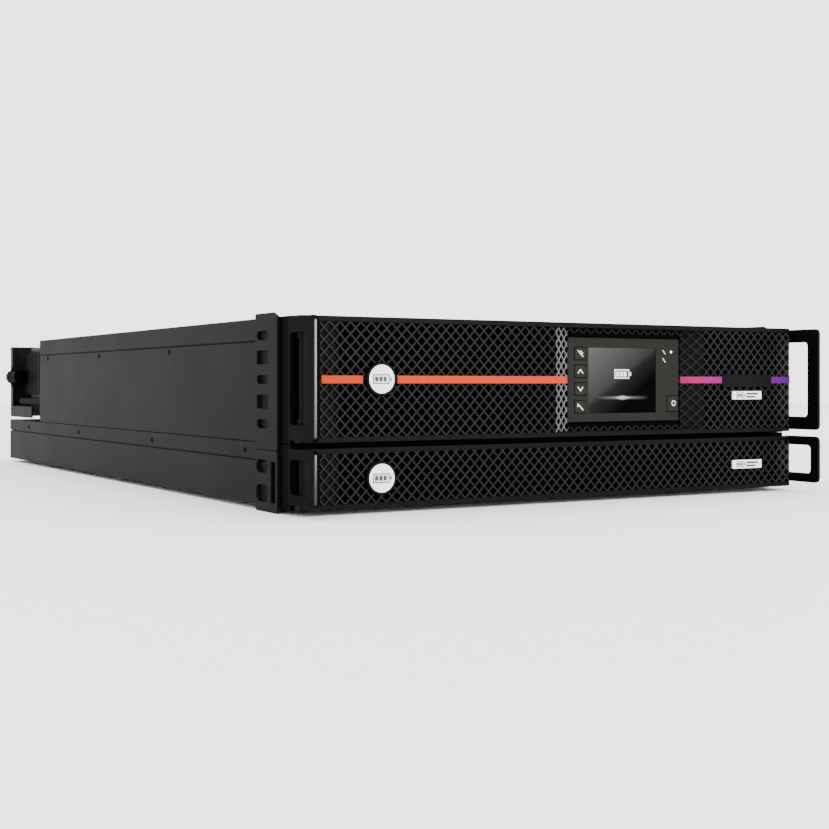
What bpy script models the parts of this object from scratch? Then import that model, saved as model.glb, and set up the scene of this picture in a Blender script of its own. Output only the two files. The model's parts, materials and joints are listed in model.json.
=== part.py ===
"""Rackmount UPS: a 2U power module standing on a longer 1U battery cabinet.

Every piece is laid out from one datum: X = 0 on the centre line, Y = 0 on the front plane of the
bezels, increasing to the rear, and Z = 0 on the underside of the battery cabinet. The datum is an
empty that puts the middle of the whole assembly's footprint over the world origin, on its feet.
"""
import math

import bmesh
import bpy
from mathutils import Matrix, Vector

MM = 0.001
GAP = 0.3 * MM

# Driving dimensions
WIDTH = 440 * MM                # across the sheet-metal casings
UPS_REAR = 611.5 * MM             # rear edge of the power module
BATTERY_REAR = 732 * MM         # rear edge of the battery cabinet
HANDLE_FRONT = -27.4 * MM       # front edge of the grip handles
GLAND_REAR = 748 * MM           # rear end of the cable gland
FOOT_HEIGHT = 3.6 * MM
BATTERY_TOP = 42.4 * MM
UPS_BOTTOM = BATTERY_TOP + GAP
UPS_TOP = 126 * MM

SHEET = 1.5 * MM                # folded steel of the casings
UPS_SEAM = 14.9 * MM            # depth of the top cover's side flanges
BATTERY_SEAM = 11.5 * MM
SEAM_GAP = 0.9 * MM             # shadow line between a cover's flange and the side below it
LIP_HEIGHT = 8 * MM             # inner lip that carries a cover's flange

FRAME_FRONT = 11 * MM           # front frame, the collar behind each bezel
FRAME_REAR = 27 * MM
FRAME_WALL = 1.8 * MM
CASING_FRONT = FRAME_REAR + GAP

BEZEL_HALF = 218 * MM
BEZEL_REAR = FRAME_FRONT - GAP
BEZEL_CORNER = 3 * MM
BEZEL_RIM = 4 * MM
WINDOW_HALF = 206 * MM
UPS_BEZEL_Z = (43.8 * MM, UPS_TOP)
BATTERY_BEZEL_Z = (0.0, 39.8 * MM)
GRILLE_FRONT = 0.5 * MM
GRILLE_SHEET = 1.2 * MM

RECESS_X = (-15.9 * MM, 126 * MM)       # rim of the sloping recess round the display
RECESS_Z = (49 * MM, 121 * MM)
DISPLAY_FRONT = 9.5 * MM
DISPLAY_X = (1.8 * MM, 108.3 * MM)
DISPLAY_Z = (53.4 * MM, 116.2 * MM)
DISPLAY_REAR = 24 * MM
DISPLAY_WALL = 3 * MM
SCREEN_X = (20.8 * MM, 85 * MM)
SCREEN_Z = (60.1 * MM, 108.5 * MM)
SCREEN_POCKET = 1.5 * MM
BUTTON_X = (7.9 * MM, 18.2 * MM)
BUTTON_HEIGHT = 9.2 * MM
BUTTON_PITCH = 13 * MM
BUTTON_TOP = 108.6 * MM
BUTTON_PROUD = 0.6 * MM
BUTTON_REAR = 17 * MM
BUTTON_NAMES = ("button_escape", "button_up", "button_down", "button_enter")
POWER_X = (96.2 * MM, 107 * MM)
POWER_Z = (60.5 * MM, 72.6 * MM)
LED_CENTRE = (100.2 * MM, 106.1 * MM)
LED_RADIUS = 1.3 * MM

STRIPE_Z = (82.1 * MM, 87.3 * MM)
STRIPE_LEFT_END = -203 * MM
STRIPE_RIGHT_END = 204 * MM
STRIPE_SHEET = 0.5 * MM
BADGE_X = -158.2 * MM
BADGE_RADIUS = 11 * MM
BADGE_DEPTH = 2 * MM
UPS_BADGE_Z = 85 * MM
BATTERY_BADGE_Z = 19.6 * MM
PLATE_X = (143.3 * MM, 195.5 * MM)
PLATE_Z = (79.2 * MM, 89 * MM)

HANDLE_INNER = 218.4 * MM
HANDLE_OUTER = 221.8 * MM
HANDLE_FOOT_FRONT = 8 * MM
HANDLE_FOOT_INNER = 204 * MM
UPS_HANDLE_Z = (45.3 * MM, 125 * MM)
UPS_GRIP = 10.6 * MM             # section of the 2U handle's front bar
UPS_HANDLE_FOOT_Z = (52.3 * MM, 118 * MM)
BATTERY_HANDLE_Z = (3.7 * MM, 40.1 * MM)
BATTERY_HANDLE_FOOT_Z = (8.7 * MM, 35.1 * MM)
BATTERY_GRIP = 7.4 * MM
NOTCH_GAP = 0.6 * MM

EAR_Y = (27 * MM, 62 * MM)
EAR_SHEET = 1.9 * MM
EAR_FACE = WIDTH / 2 + GAP + EAR_SHEET
UPS_EAR_Z = (38 * MM, 129 * MM)
BATTERY_EAR_Z = (-3.2 * MM, 37.6 * MM)
EAR_HOLE_Y = (41 * MM, 59.2 * MM)
UPS_EAR_HOLE_TOP = 114.3 * MM
UPS_EAR_HOLE_PITCH = 14.8 * MM

FAN_SIZE = 60 * MM
FAN_DEPTH = 25 * MM
FAN_BORE = 28.5 * MM
FAN_REAR = UPS_REAR - 3.5 * MM
FAN_CENTRES_X = (52 * MM, 116 * MM)
FAN_Z = 86 * MM
BLADES = 7
ROTOR_RADIUS = 27 * MM
HUB_RADIUS = 12 * MM

BOX_X = (-205 * MM, 8 * MM)     # power distribution box behind the 2U module
BOX_Z = (47 * MM, 120 * MM)
BOX_Y = (UPS_REAR + GAP, 704 * MM)
BOX_PLATE_X = (-219.5 * MM, 10 * MM)
BOX_PLATE_Y = (BATTERY_REAR - 2 * MM, BATTERY_REAR)
BOX_PLATE_Z = (45.6 * MM, 122 * MM)
BOX_TAB_FRONT = 645 * MM
BOX_FOLD_SHEET = 0.8 * MM       # stiffening fold above and below the cable gland
BOX_TAB_TOP = 57.5 * MM
GLAND_CENTRE = (-213 * MM, 89 * MM)
GLAND_RADIUS = 8.9 * MM
GLAND_THREAD = 5.5 * MM
GLAND_NUT_FRONT = 706 * MM
OUTLET_X = (-88 * MM, 2 * MM)
OUTLET_Z = (54 * MM, 114 * MM)
BREAKER_X = (-126 * MM, -104 * MM)
BREAKER_Z = (66 * MM, 104 * MM)
BREAKER_SLOT_DEPTH = 9 * MM
BREAKER_SLOT_WIDTH = 9 * MM
LEVER_WIDTH = 6 * MM
LEVER_HUB = 2.6 * MM
LEVER_LENGTH = 12 * MM
LEVER_REST = math.radians(30)

BATTERY_PANEL_Y = (718 * MM, 719.5 * MM)
BATTERY_SOCKET_X = (-190 * MM, -146 * MM)
BATTERY_BREAKER_X = (150 * MM, 172 * MM)
BATTERY_FITTING_Z = (6 * MM, 36 * MM)
UPS_SOCKET_X = (152 * MM, 196 * MM)
UPS_SOCKET_Z = (48 * MM, 78 * MM)
SOCKET_DEPTH = 12 * MM
CARD_X = (150 * MM, 212 * MM)
CARD_Z = (86 * MM, 118 * MM)
PORT_X = (158 * MM, 172 * MM)
PORT_Z = (95 * MM, 106 * MM)

FOOT_RADIUS = 9 * MM
FOOT_X = 170 * MM
FOOT_Y = (90 * MM, 640 * MM)

FINISHES = {
    # name: (base colour, roughness, metallic)
    "casing_paint": ((0.042, 0.041, 0.034), 0.55, 0.0),
    "frame_black": ((0.016, 0.016, 0.018), 0.5, 0.0),
    "bezel_plastic": ((0.010, 0.010, 0.011), 0.42, 0.0),
    "grille_black": ((0.014, 0.014, 0.014), 0.5, 0.0),
    "handle_black": ((0.012, 0.012, 0.013), 0.4, 0.0),
    "display_plastic": ((0.022, 0.021, 0.017), 0.5, 0.0),
    "screen_glass": ((0.006, 0.007, 0.008), 0.1, 0.0),
    "button_plastic": ((0.028, 0.027, 0.022), 0.5, 0.0),
    "led_white": ((0.85, 0.87, 0.9), 0.3, 0.0),
    "stripe_orange": ((0.75, 0.14, 0.06), 0.4, 0.0),
    "stripe_magenta": ((0.42, 0.03, 0.25), 0.4, 0.0),
    "badge_white": ((0.85, 0.85, 0.85), 0.35, 0.0),
    "circuit_board": ((0.02, 0.12, 0.05), 0.5, 0.0),
    "bare_aluminium": ((0.6, 0.6, 0.6), 0.35, 1.0),
    "coil_lacquer": ((0.22, 0.09, 0.03), 0.4, 0.0),
    "battery_wrap": ((0.02, 0.06, 0.16), 0.45, 0.0),
    "black_plastic": ((0.012, 0.012, 0.012), 0.55, 0.0),
    "rubber": ((0.01, 0.01, 0.01), 0.8, 0.0),
}


# Helpers

def clear_scene():
    for thing in list(bpy.data.objects):
        bpy.data.objects.remove(thing, do_unlink=True)


def make_datum():
    datum = bpy.data.objects.new("front_datum", None)
    bpy.context.scene.collection.objects.link(datum)
    datum.location = (0, -(HANDLE_FRONT + GLAND_REAR) / 2, FOOT_HEIGHT)
    return datum


def finish(name):
    material = bpy.data.materials.get(name)
    if material is None:
        colour, roughness, metallic = FINISHES[name]
        material = bpy.data.materials.new(name)
        material.use_nodes = True
        shader = material.node_tree.nodes["Principled BSDF"]
        shader.inputs["Base Color"].default_value = (*colour, 1)
        shader.inputs["Roughness"].default_value = roughness
        shader.inputs["Metallic"].default_value = metallic
        material.diffuse_color = (*colour, 1)
    return material


def add_piece(name, shape, material, origin=(0, 0, 0)):
    """Turn a bmesh drawn in datum coordinates into an object with its origin at a chosen point."""
    bmesh.ops.translate(shape, verts=shape.verts, vec=-Vector(origin))
    bmesh.ops.recalc_face_normals(shape, faces=shape.faces)
    mesh = bpy.data.meshes.new(name)
    shape.to_mesh(mesh)
    shape.free()
    piece = bpy.data.objects.new(name, mesh)
    bpy.context.scene.collection.objects.link(piece)
    piece.parent = DATUM
    piece.location = origin
    mesh.materials.append(finish(material))
    return piece


def box_shape(x, y, z):
    shape = bmesh.new()
    bmesh.ops.create_cube(shape, size=1)
    size = Vector((x[1] - x[0], y[1] - y[0], z[1] - z[0]))
    middle = Vector((x[0] + x[1], y[0] + y[1], z[0] + z[1])) / 2
    bmesh.ops.scale(shape, verts=shape.verts, vec=size)
    bmesh.ops.translate(shape, verts=shape.verts, vec=middle)
    return shape


def box(name, x, y, z, material, bevel=0.0):
    middle = ((x[0] + x[1]) / 2, (y[0] + y[1]) / 2, (z[0] + z[1]) / 2)
    piece = add_piece(name, box_shape(x, y, z), material, middle)
    if bevel:
        edge = piece.modifiers.new("edge_round", "BEVEL")
        edge.width = bevel
        edge.segments = 1
    return piece


def prism_shape(outline, axis, span):
    """Extrude an outline along an axis; its points are the two other coordinates in XYZ order."""
    shape = bmesh.new()
    corners = []
    for first, second in outline:
        place = {"X": (span[0], first, second), "Y": (first, span[0], second),
                 "Z": (first, second, span[0])}[axis]
        corners.append(shape.verts.new(place))
    face = shape.faces.new(corners)
    drawn = bmesh.ops.extrude_face_region(shape, geom=[face])
    moved = [item for item in drawn["geom"] if isinstance(item, bmesh.types.BMVert)]
    step = Vector(("XYZ".index(axis) == 0, "XYZ".index(axis) == 1, "XYZ".index(axis) == 2))
    bmesh.ops.translate(shape, verts=moved, vec=step * (span[1] - span[0]))
    return shape


def prism(name, outline, axis, span, material, origin=(0, 0, 0)):
    return add_piece(name, prism_shape(outline, axis, span), material, origin)


def rounded(first, second, radius, steps=3):
    """A rectangle with round corners, from two (low, high) spans."""
    outline = []
    quarter = math.pi / 2
    centres = ((first[1] - radius, second[1] - radius, 0), (first[0] + radius, second[1] - radius, 1),
               (first[0] + radius, second[0] + radius, 2), (first[1] - radius, second[0] + radius, 3))
    for across, up, turn in centres:
        for step in range(steps + 1):
            angle = quarter * (turn + step / steps)
            outline.append((across + radius * math.cos(angle), up + radius * math.sin(angle)))
    return outline


def disc(centre, radius, sides=24):
    return [(centre[0] + radius * math.cos(2 * math.pi * step / sides),
             centre[1] + radius * math.sin(2 * math.pi * step / sides)) for step in range(sides)]


def shave(piece, shape, label):
    """Cut a shape out of a piece with a live Boolean."""
    combine(piece, shape, label, "DIFFERENCE")


def weld(piece, shape, label):
    """Join a shape onto a piece with a live Boolean."""
    combine(piece, shape, label, "UNION")


def combine(piece, shape, label, operation):
    tool = add_piece(piece.name + "_" + label, shape, "rubber")
    tool.hide_render = True
    tool.display_type = "WIRE"
    tool.hide_set(True)
    boolean = piece.modifiers.new(label, "BOOLEAN")
    boolean.operation = operation
    boolean.object = tool


def smooth(piece, angle=35):
    piece.data.shade_smooth()
    piece.data.set_sharp_from_angle(angle=math.radians(angle))


def grown(span, amount):
    return (span[0] - amount, span[1] + amount)


def mirrored(side, low, high):
    """An X span on the left (-1) or right (+1) side from distances off the centre line."""
    return tuple(sorted((side * low, side * high)))


# Sheet-metal casings

def tray(name, bottom, top, seam, rear):
    """Folded tray: floor, two sides up to the seam, and a jogged lip inside the cover's flange."""
    outer = WIDTH / 2
    inner = outer - SHEET
    lip = inner - SHEET - GAP
    shoulder = top - seam - SEAM_GAP
    right = [(outer, bottom), (outer, shoulder), (inner - GAP, shoulder),
             (inner - GAP, shoulder + LIP_HEIGHT), (lip, shoulder + LIP_HEIGHT),
             (lip, shoulder - SHEET), (inner, shoulder - SHEET), (inner, bottom + SHEET)]
    left = [(-across, up) for across, up in reversed(right)]
    prism(name, right + left, "Y", (CASING_FRONT, rear), "casing_paint")


def lid(name, top, seam, rear):
    outer = WIDTH / 2
    inner = outer - SHEET
    low = top - seam
    outline = [(-outer, low), (-outer, top), (outer, top), (outer, low), (inner, low),
               (inner, top - SHEET), (-inner, top - SHEET), (-inner, low)]
    prism(name, outline, "Y", (CASING_FRONT, rear), "casing_paint")


def front_frame(name, height, windows):
    """Collar between a bezel and its casing, with a wall that carries the handles."""
    span = (-WIDTH / 2, WIDTH / 2)
    frame = box(name, span, (FRAME_FRONT, FRAME_REAR), height, "frame_black")
    shave(frame, box_shape(grown(span, -FRAME_WALL), (FRAME_FRONT + FRAME_WALL, FRAME_REAR + 5 * MM),
                           grown(height, -FRAME_WALL)), "hollow")
    for number, (across, up) in enumerate(windows):
        shave(frame, box_shape(across, (FRAME_FRONT - 2 * MM, FRAME_REAR), up), f"window_{number}")


def ears():
    for side, word in ((-1, "left"), (1, "right")):
        across = mirrored(side, WIDTH / 2 + GAP, EAR_FACE)
        through = grown(across, 3 * MM)
        ear = prism("ups_ear_" + word, rounded(EAR_Y, UPS_EAR_Z, 1.5 * MM, 2), "X", across,
                    "casing_paint")
        front, top = EAR_Y[0] - MM, UPS_EAR_Z[1] + MM
        slope = [(front, top - 4.2 * MM), (front + 10 * MM, top), (front, top)]
        shave(ear, prism_shape(slope, "X", through), "corner")
        for hole in range(5):
            middle = UPS_EAR_HOLE_TOP - hole * UPS_EAR_HOLE_PITCH
            half = (3 if hole % 2 == 0 else 4.6) * MM
            radius = 2.9 * MM if hole % 2 == 0 else 0.8 * MM
            outline = rounded(EAR_HOLE_Y, (middle - half, middle + half), radius, 2)
            shave(ear, prism_shape(outline, "X", through), f"hole_{hole}")
        ear = prism("battery_ear_" + word, rounded(EAR_Y, BATTERY_EAR_Z, 1.5 * MM, 2), "X", across,
                    "casing_paint")
        for hole, up in enumerate(((22.4 * MM, 31.1 * MM), (3 * MM, 14.4 * MM))):
            outline = rounded((41.8 * MM, 60 * MM), up, 4 * MM)
            shave(ear, prism_shape(outline, "X", through), f"hole_{hole}")
        shave(ear, box_shape(through, (30 * MM, 37 * MM), (3 * MM, 30.4 * MM)), "slot")


def handle(name, side, height, grip, foot_height):
    """Flat D handle in a vertical plane, with an inward foot screwed to the front frame."""
    across = mirrored(side, HANDLE_INNER, HANDLE_OUTER)
    piece = prism(name, rounded((HANDLE_FRONT, BEZEL_REAR), height, 3.4 * MM, 2), "X", across,
                  "handle_black")
    foot = box_shape(mirrored(side, HANDLE_FOOT_INNER, HANDLE_OUTER - GAP),
                     (HANDLE_FOOT_FRONT, BEZEL_REAR), foot_height)
    weld(piece, foot, "foot")
    opening = rounded((HANDLE_FRONT + grip, HANDLE_FOOT_FRONT), grown(height, -grip + 0.4 * MM),
                      3 * MM, 2)
    shave(piece, prism_shape(opening, "X", grown(across, 2 * MM)), "grip")


def handles():
    for side, word in ((-1, "left"), (1, "right")):
        handle("ups_handle_" + word, side, UPS_HANDLE_Z, UPS_GRIP, UPS_HANDLE_FOOT_Z)
        handle("battery_handle_" + word, side, BATTERY_HANDLE_Z, BATTERY_GRIP, BATTERY_HANDLE_FOOT_Z)


# Bezels and what is on them

def bezel(name, height, pocket, foot_height):
    """Rim with round front corners, one window, finger pockets and notches for the handle feet."""
    half, radius = BEZEL_HALF, BEZEL_CORNER
    outline = [(half, BEZEL_REAR)]
    for step in range(4):
        angle = math.pi / 2 * step / 3
        outline.append((half - radius + radius * math.cos(angle), radius - radius * math.sin(angle)))
    outline += [(-across, along) for across, along in reversed(outline)]
    rim = prism(name, outline, "Z", height, "bezel_plastic")
    window = box_shape((-WINDOW_HALF, WINDOW_HALF), (-3 * MM, BEZEL_REAR + 3 * MM),
                       grown(height, -BEZEL_RIM + 0.3 * MM))
    shave(rim, window, "window")
    for side, word in ((-1, "left"), (1, "right")):
        notch = box_shape(mirrored(side, HANDLE_FOOT_INNER - 3 * MM, half + 2 * MM),
                          (HANDLE_FOOT_FRONT - NOTCH_GAP, BEZEL_REAR + MM), grown(foot_height, NOTCH_GAP))
        shave(rim, notch, "notch_" + word)
        recess = box_shape(mirrored(side, half - 4 * MM, half + 2 * MM),
                           (2.4 * MM, HANDLE_FOOT_FRONT), pocket)
        shave(rim, recess, "pocket_" + word)


def ring(across, along, up):
    """Corners of a rectangle facing forwards."""
    return [(across[0], along, up[0]), (across[1], along, up[0]), (across[1], along, up[1]),
            (across[0], along, up[1])]


def ups_grille():
    """One formed sheet: flat field, then four slopes down to the display's opening."""
    outer = ((-WINDOW_HALF + GAP, WINDOW_HALF - GAP), grown(UPS_BEZEL_Z, -BEZEL_RIM - 0.1 * MM))
    layers = []
    for back in (0.0, GRILLE_SHEET):
        layers.append([ring(outer[0], GRILLE_FRONT + back, outer[1]),
                       ring(RECESS_X, GRILLE_FRONT + back, RECESS_Z),
                       ring(grown(DISPLAY_X, 0.5 * MM), DISPLAY_FRONT + back - 0.1 * MM,
                            grown(DISPLAY_Z, 0.5 * MM))])
    shape = bmesh.new()
    front, rear = [[[shape.verts.new(place) for place in corners] for corners in layer]
                   for layer in layers]
    strips = [(front[0], front[1]), (front[1], front[2]), (rear[0], rear[1]), (rear[1], rear[2]),
              (front[0], rear[0]), (front[2], rear[2])]
    for one, other in strips:
        for corner in range(4):
            after = (corner + 1) % 4
            shape.faces.new((one[corner], one[after], other[after], other[corner]))
    add_piece("ups_grille", shape, "grille_black")


def battery_grille():
    up = grown(BATTERY_BEZEL_Z, -BEZEL_RIM - 0.1 * MM)
    box("battery_grille", (-WINDOW_HALF + GAP, WINDOW_HALF - GAP),
        (GRILLE_FRONT, GRILLE_FRONT + GRILLE_SHEET), up, "grille_black")


def stripes():
    """Colour strips that follow the grille, and slope down with it to the display."""
    level = GRILLE_FRONT - GAP
    low = DISPLAY_FRONT - GAP - 1.0 * MM
    left = [(STRIPE_LEFT_END, level), (RECESS_X[0] - 0.2 * MM, level), (DISPLAY_X[0] - 1.2 * MM, low)]
    right = [(DISPLAY_X[1] + 1.2 * MM, low), (RECESS_X[1] + 0.2 * MM, level), (STRIPE_RIGHT_END, level)]
    for name, path, material in (("stripe_left", left, "stripe_orange"),
                                 ("stripe_right", right, "stripe_magenta")):
        lifted = [(across, along - STRIPE_SHEET) for across, along in reversed(path)]
        prism(name, path + lifted, "Z", STRIPE_Z, material)
    front = level - STRIPE_SHEET - GAP
    box("name_plate", PLATE_X, (front - 0.8 * MM, front), PLATE_Z, "grille_black")
    for name, up in (("ups_badge", UPS_BADGE_Z), ("battery_badge", BATTERY_BADGE_Z)):
        badge = prism(name, disc((BADGE_X, up), BADGE_RADIUS), "Y", (front - BADGE_DEPTH, front),
                      "badge_white", (BADGE_X, front, up))
        smooth(badge)


# Display and its buttons

def button_spans():
    spans = []
    for number in range(len(BUTTON_NAMES)):
        top = BUTTON_TOP - number * BUTTON_PITCH
        spans.append((BUTTON_X, (top - BUTTON_HEIGHT, top)))
    return spans


def display():
    housing = box("display_housing", DISPLAY_X, (DISPLAY_FRONT, DISPLAY_REAR), DISPLAY_Z,
                  "display_plastic")
    shave(housing, box_shape(grown(DISPLAY_X, -2 * MM), (DISPLAY_FRONT + DISPLAY_WALL, DISPLAY_REAR + MM),
                             grown(DISPLAY_Z, -2 * MM)), "hollow")
    shave(housing, box_shape(grown(SCREEN_X, GAP), (0.0, DISPLAY_FRONT + SCREEN_POCKET),
                             grown(SCREEN_Z, GAP)), "screen_pocket")
    box("display_screen", SCREEN_X, (DISPLAY_FRONT + 0.3 * MM, DISPLAY_FRONT + SCREEN_POCKET - GAP),
        SCREEN_Z, "screen_glass")
    keys = list(zip(BUTTON_NAMES, button_spans())) + [("power_button", (POWER_X, POWER_Z))]
    for name, (across, up) in keys:
        shave(housing, box_shape(grown(across, GAP), (0.0, DISPLAY_REAR), grown(up, GAP)), name)
        box(name, across, (DISPLAY_FRONT - BUTTON_PROUD, BUTTON_REAR), up, "button_plastic", 0.5 * MM)
    hole = prism_shape(disc(LED_CENTRE, LED_RADIUS + GAP, 12), "Y", (0.0, DISPLAY_REAR))
    shave(housing, hole, "led_hole")
    led = prism("status_led", disc(LED_CENTRE, LED_RADIUS, 12), "Y",
                (DISPLAY_FRONT - 0.2 * MM, DISPLAY_FRONT + 6 * MM), "led_white",
                (LED_CENTRE[0], DISPLAY_FRONT, LED_CENTRE[1]))
    smooth(led)


# Inside the power module

def power_electronics():
    floor = UPS_BOTTOM + SHEET
    box("main_board", (-196 * MM, 196 * MM), (200 * MM, 560 * MM), (floor + 3 * MM, floor + 4.6 * MM),
        "circuit_board")
    deck = floor + 5 * MM
    fins = 12
    pitch = 8 * MM
    wide = pitch * (fins - 1) + 2 * MM
    outline = [(wide, 0.0), (0.0, 0.0)]
    for fin in range(fins):
        outline += [(fin * pitch, 62 * MM), (fin * pitch + 2 * MM, 62 * MM)]
        if fin < fins - 1:
            outline += [(fin * pitch + 2 * MM, 8 * MM), ((fin + 1) * pitch, 8 * MM)]
    outline = [(across - 110 * MM, up + deck) for across, up in outline]
    prism("heatsink", outline, "Y", (260 * MM, 480 * MM), "bare_aluminium")
    box("transformer", (30 * MM, 112 * MM), (330 * MM, 420 * MM), (deck, deck + 58 * MM),
        "coil_lacquer", 4 * MM)
    bank = box("capacitor_bank", (-186 * MM, -130 * MM), (250 * MM, 400 * MM), (deck, deck + 3 * MM),
               "battery_wrap")
    for row in range(3):
        for column in range(2):
            centre = (-172 * MM + column * 28 * MM, 275 * MM + row * 50 * MM)
            can = prism_shape(disc(centre, 12 * MM, 16), "Z", (deck + 2 * MM, deck + 45 * MM))
            weld(bank, can, f"can_{row}_{column}")
    box("ups_battery_pack", (-205 * MM, 60 * MM), (36 * MM, 190 * MM), (floor + 2 * MM, 118 * MM),
        "battery_wrap", 3 * MM)


def rotor_shape(centre, span):
    """Hub and blades drawn as one star outline that turns as it is carried along the shaft."""
    slices = 4
    twist = math.radians(34)
    blade = math.radians(9)
    shape = bmesh.new()
    rows = []
    for level in range(slices + 1):
        turned = twist * level / slices
        along = span[0] + (span[1] - span[0]) * level / slices
        row = []
        for number in range(BLADES):
            start = 2 * math.pi * number / BLADES + turned
            for radius, angle in ((HUB_RADIUS, start - blade), (ROTOR_RADIUS, start - blade),
                                  (ROTOR_RADIUS, start + blade), (HUB_RADIUS, start + blade),
                                  (HUB_RADIUS, start + 2.5 * blade)):
                row.append(shape.verts.new((centre[0] + radius * math.cos(angle), along,
                                            centre[1] + radius * math.sin(angle))))
        rows.append(row)
    count = len(rows[0])
    for lower, upper in zip(rows, rows[1:]):
        for point in range(count):
            after = (point + 1) % count
            shape.faces.new((lower[point], lower[after], upper[after], upper[point]))
    shape.faces.new(rows[0])
    shape.faces.new(rows[-1])
    return shape


def fans():
    half = FAN_SIZE / 2
    for number, across in enumerate(FAN_CENTRES_X, start=1):
        front = FAN_REAR - FAN_DEPTH
        outline = rounded((across - half, across + half), (FAN_Z - half, FAN_Z + half), 3 * MM, 2)
        housing = prism(f"fan_housing_{number}", outline, "Y", (front, FAN_REAR), "black_plastic")
        shave(housing, prism_shape(disc((across, FAN_Z), FAN_BORE), "Y",
                                   grown((front, FAN_REAR), MM)), "bore")
        weld(housing, box_shape((across - half + MM, across + half - MM),
                                (front + 0.5 * MM, front + 2.5 * MM), (FAN_Z - 3 * MM, FAN_Z + 3 * MM)),
             "strut")
        add_piece(f"fan_rotor_{number}", rotor_shape((across, FAN_Z), (front + 4 * MM, FAN_REAR - 2 * MM)),
                  "black_plastic", (across, FAN_REAR - FAN_DEPTH / 2, FAN_Z))


# Rear of the power module

def ups_rear():
    up = (UPS_BOTTOM + SHEET + GAP, UPS_TOP - SHEET - GAP)
    along = (UPS_REAR - 3 * MM, UPS_REAR - 1.5 * MM)
    lip = WIDTH / 2 - 2 * SHEET - 3 * GAP
    panel = box("ups_rear_panel", (-lip, lip), along, up, "casing_paint")
    through = grown(along, 3 * MM)
    shave(panel, box_shape(grown(UPS_SOCKET_X, GAP), through, grown(UPS_SOCKET_Z, GAP)), "socket")
    shave(panel, box_shape(grown(CARD_X, GAP), through, grown(CARD_Z, GAP)), "card_bay")
    card = box("network_card", CARD_X, (UPS_REAR - 120 * MM, UPS_REAR), (CARD_Z[0], CARD_Z[1]),
               "circuit_board")
    shave(card, box_shape(grown(CARD_X, MM), (UPS_REAR - 130 * MM, UPS_REAR - 16 * MM),
                          (CARD_Z[0] + 2 * MM, CARD_Z[1] + MM)), "step")
    shave(card, box_shape(PORT_X, (UPS_REAR - 14 * MM, UPS_REAR + MM), PORT_Z), "port")
    socket("ups_battery_socket", UPS_SOCKET_X, UPS_SOCKET_Z, UPS_REAR)


def socket(name, across, up, rear):
    body = box(name, across, (rear - 20 * MM, rear), up, "black_plastic")
    shave(body, box_shape(grown(across, -4 * MM), (rear - SOCKET_DEPTH, rear + MM),
                          grown(up, -5 * MM)), "mouth")


def breaker(name, across, up, rear):
    """Breaker body with a slot, and a toggle that swings in it about a cross axis."""
    body = box(name, across, (rear - 24 * MM, rear), up, "black_plastic")
    middle = (across[0] + across[1]) / 2
    half = BREAKER_SLOT_WIDTH / 2
    shave(body, box_shape((middle - half, middle + half), (rear - BREAKER_SLOT_DEPTH, rear + MM),
                          grown(up, -4 * MM)), "slot")
    pivot = Vector((middle, rear - BREAKER_SLOT_DEPTH / 2, (up[0] + up[1]) / 2))
    half = LEVER_WIDTH / 2
    outline = []
    for step in range(9):
        angle = math.pi / 2 + math.pi * step / 8
        outline.append((LEVER_HUB * math.cos(angle), LEVER_HUB * math.sin(angle)))
    outline += [(LEVER_LENGTH, -0.6 * LEVER_HUB), (LEVER_LENGTH, 0.6 * LEVER_HUB)]
    turn = Matrix.Rotation(LEVER_REST, 2)
    turned = [turn @ Vector(point) + Vector((pivot.y, pivot.z)) for point in outline]
    prism(name + "_lever", [tuple(point) for point in turned], "X", (middle - half, middle + half),
          "badge_white", pivot)


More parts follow.
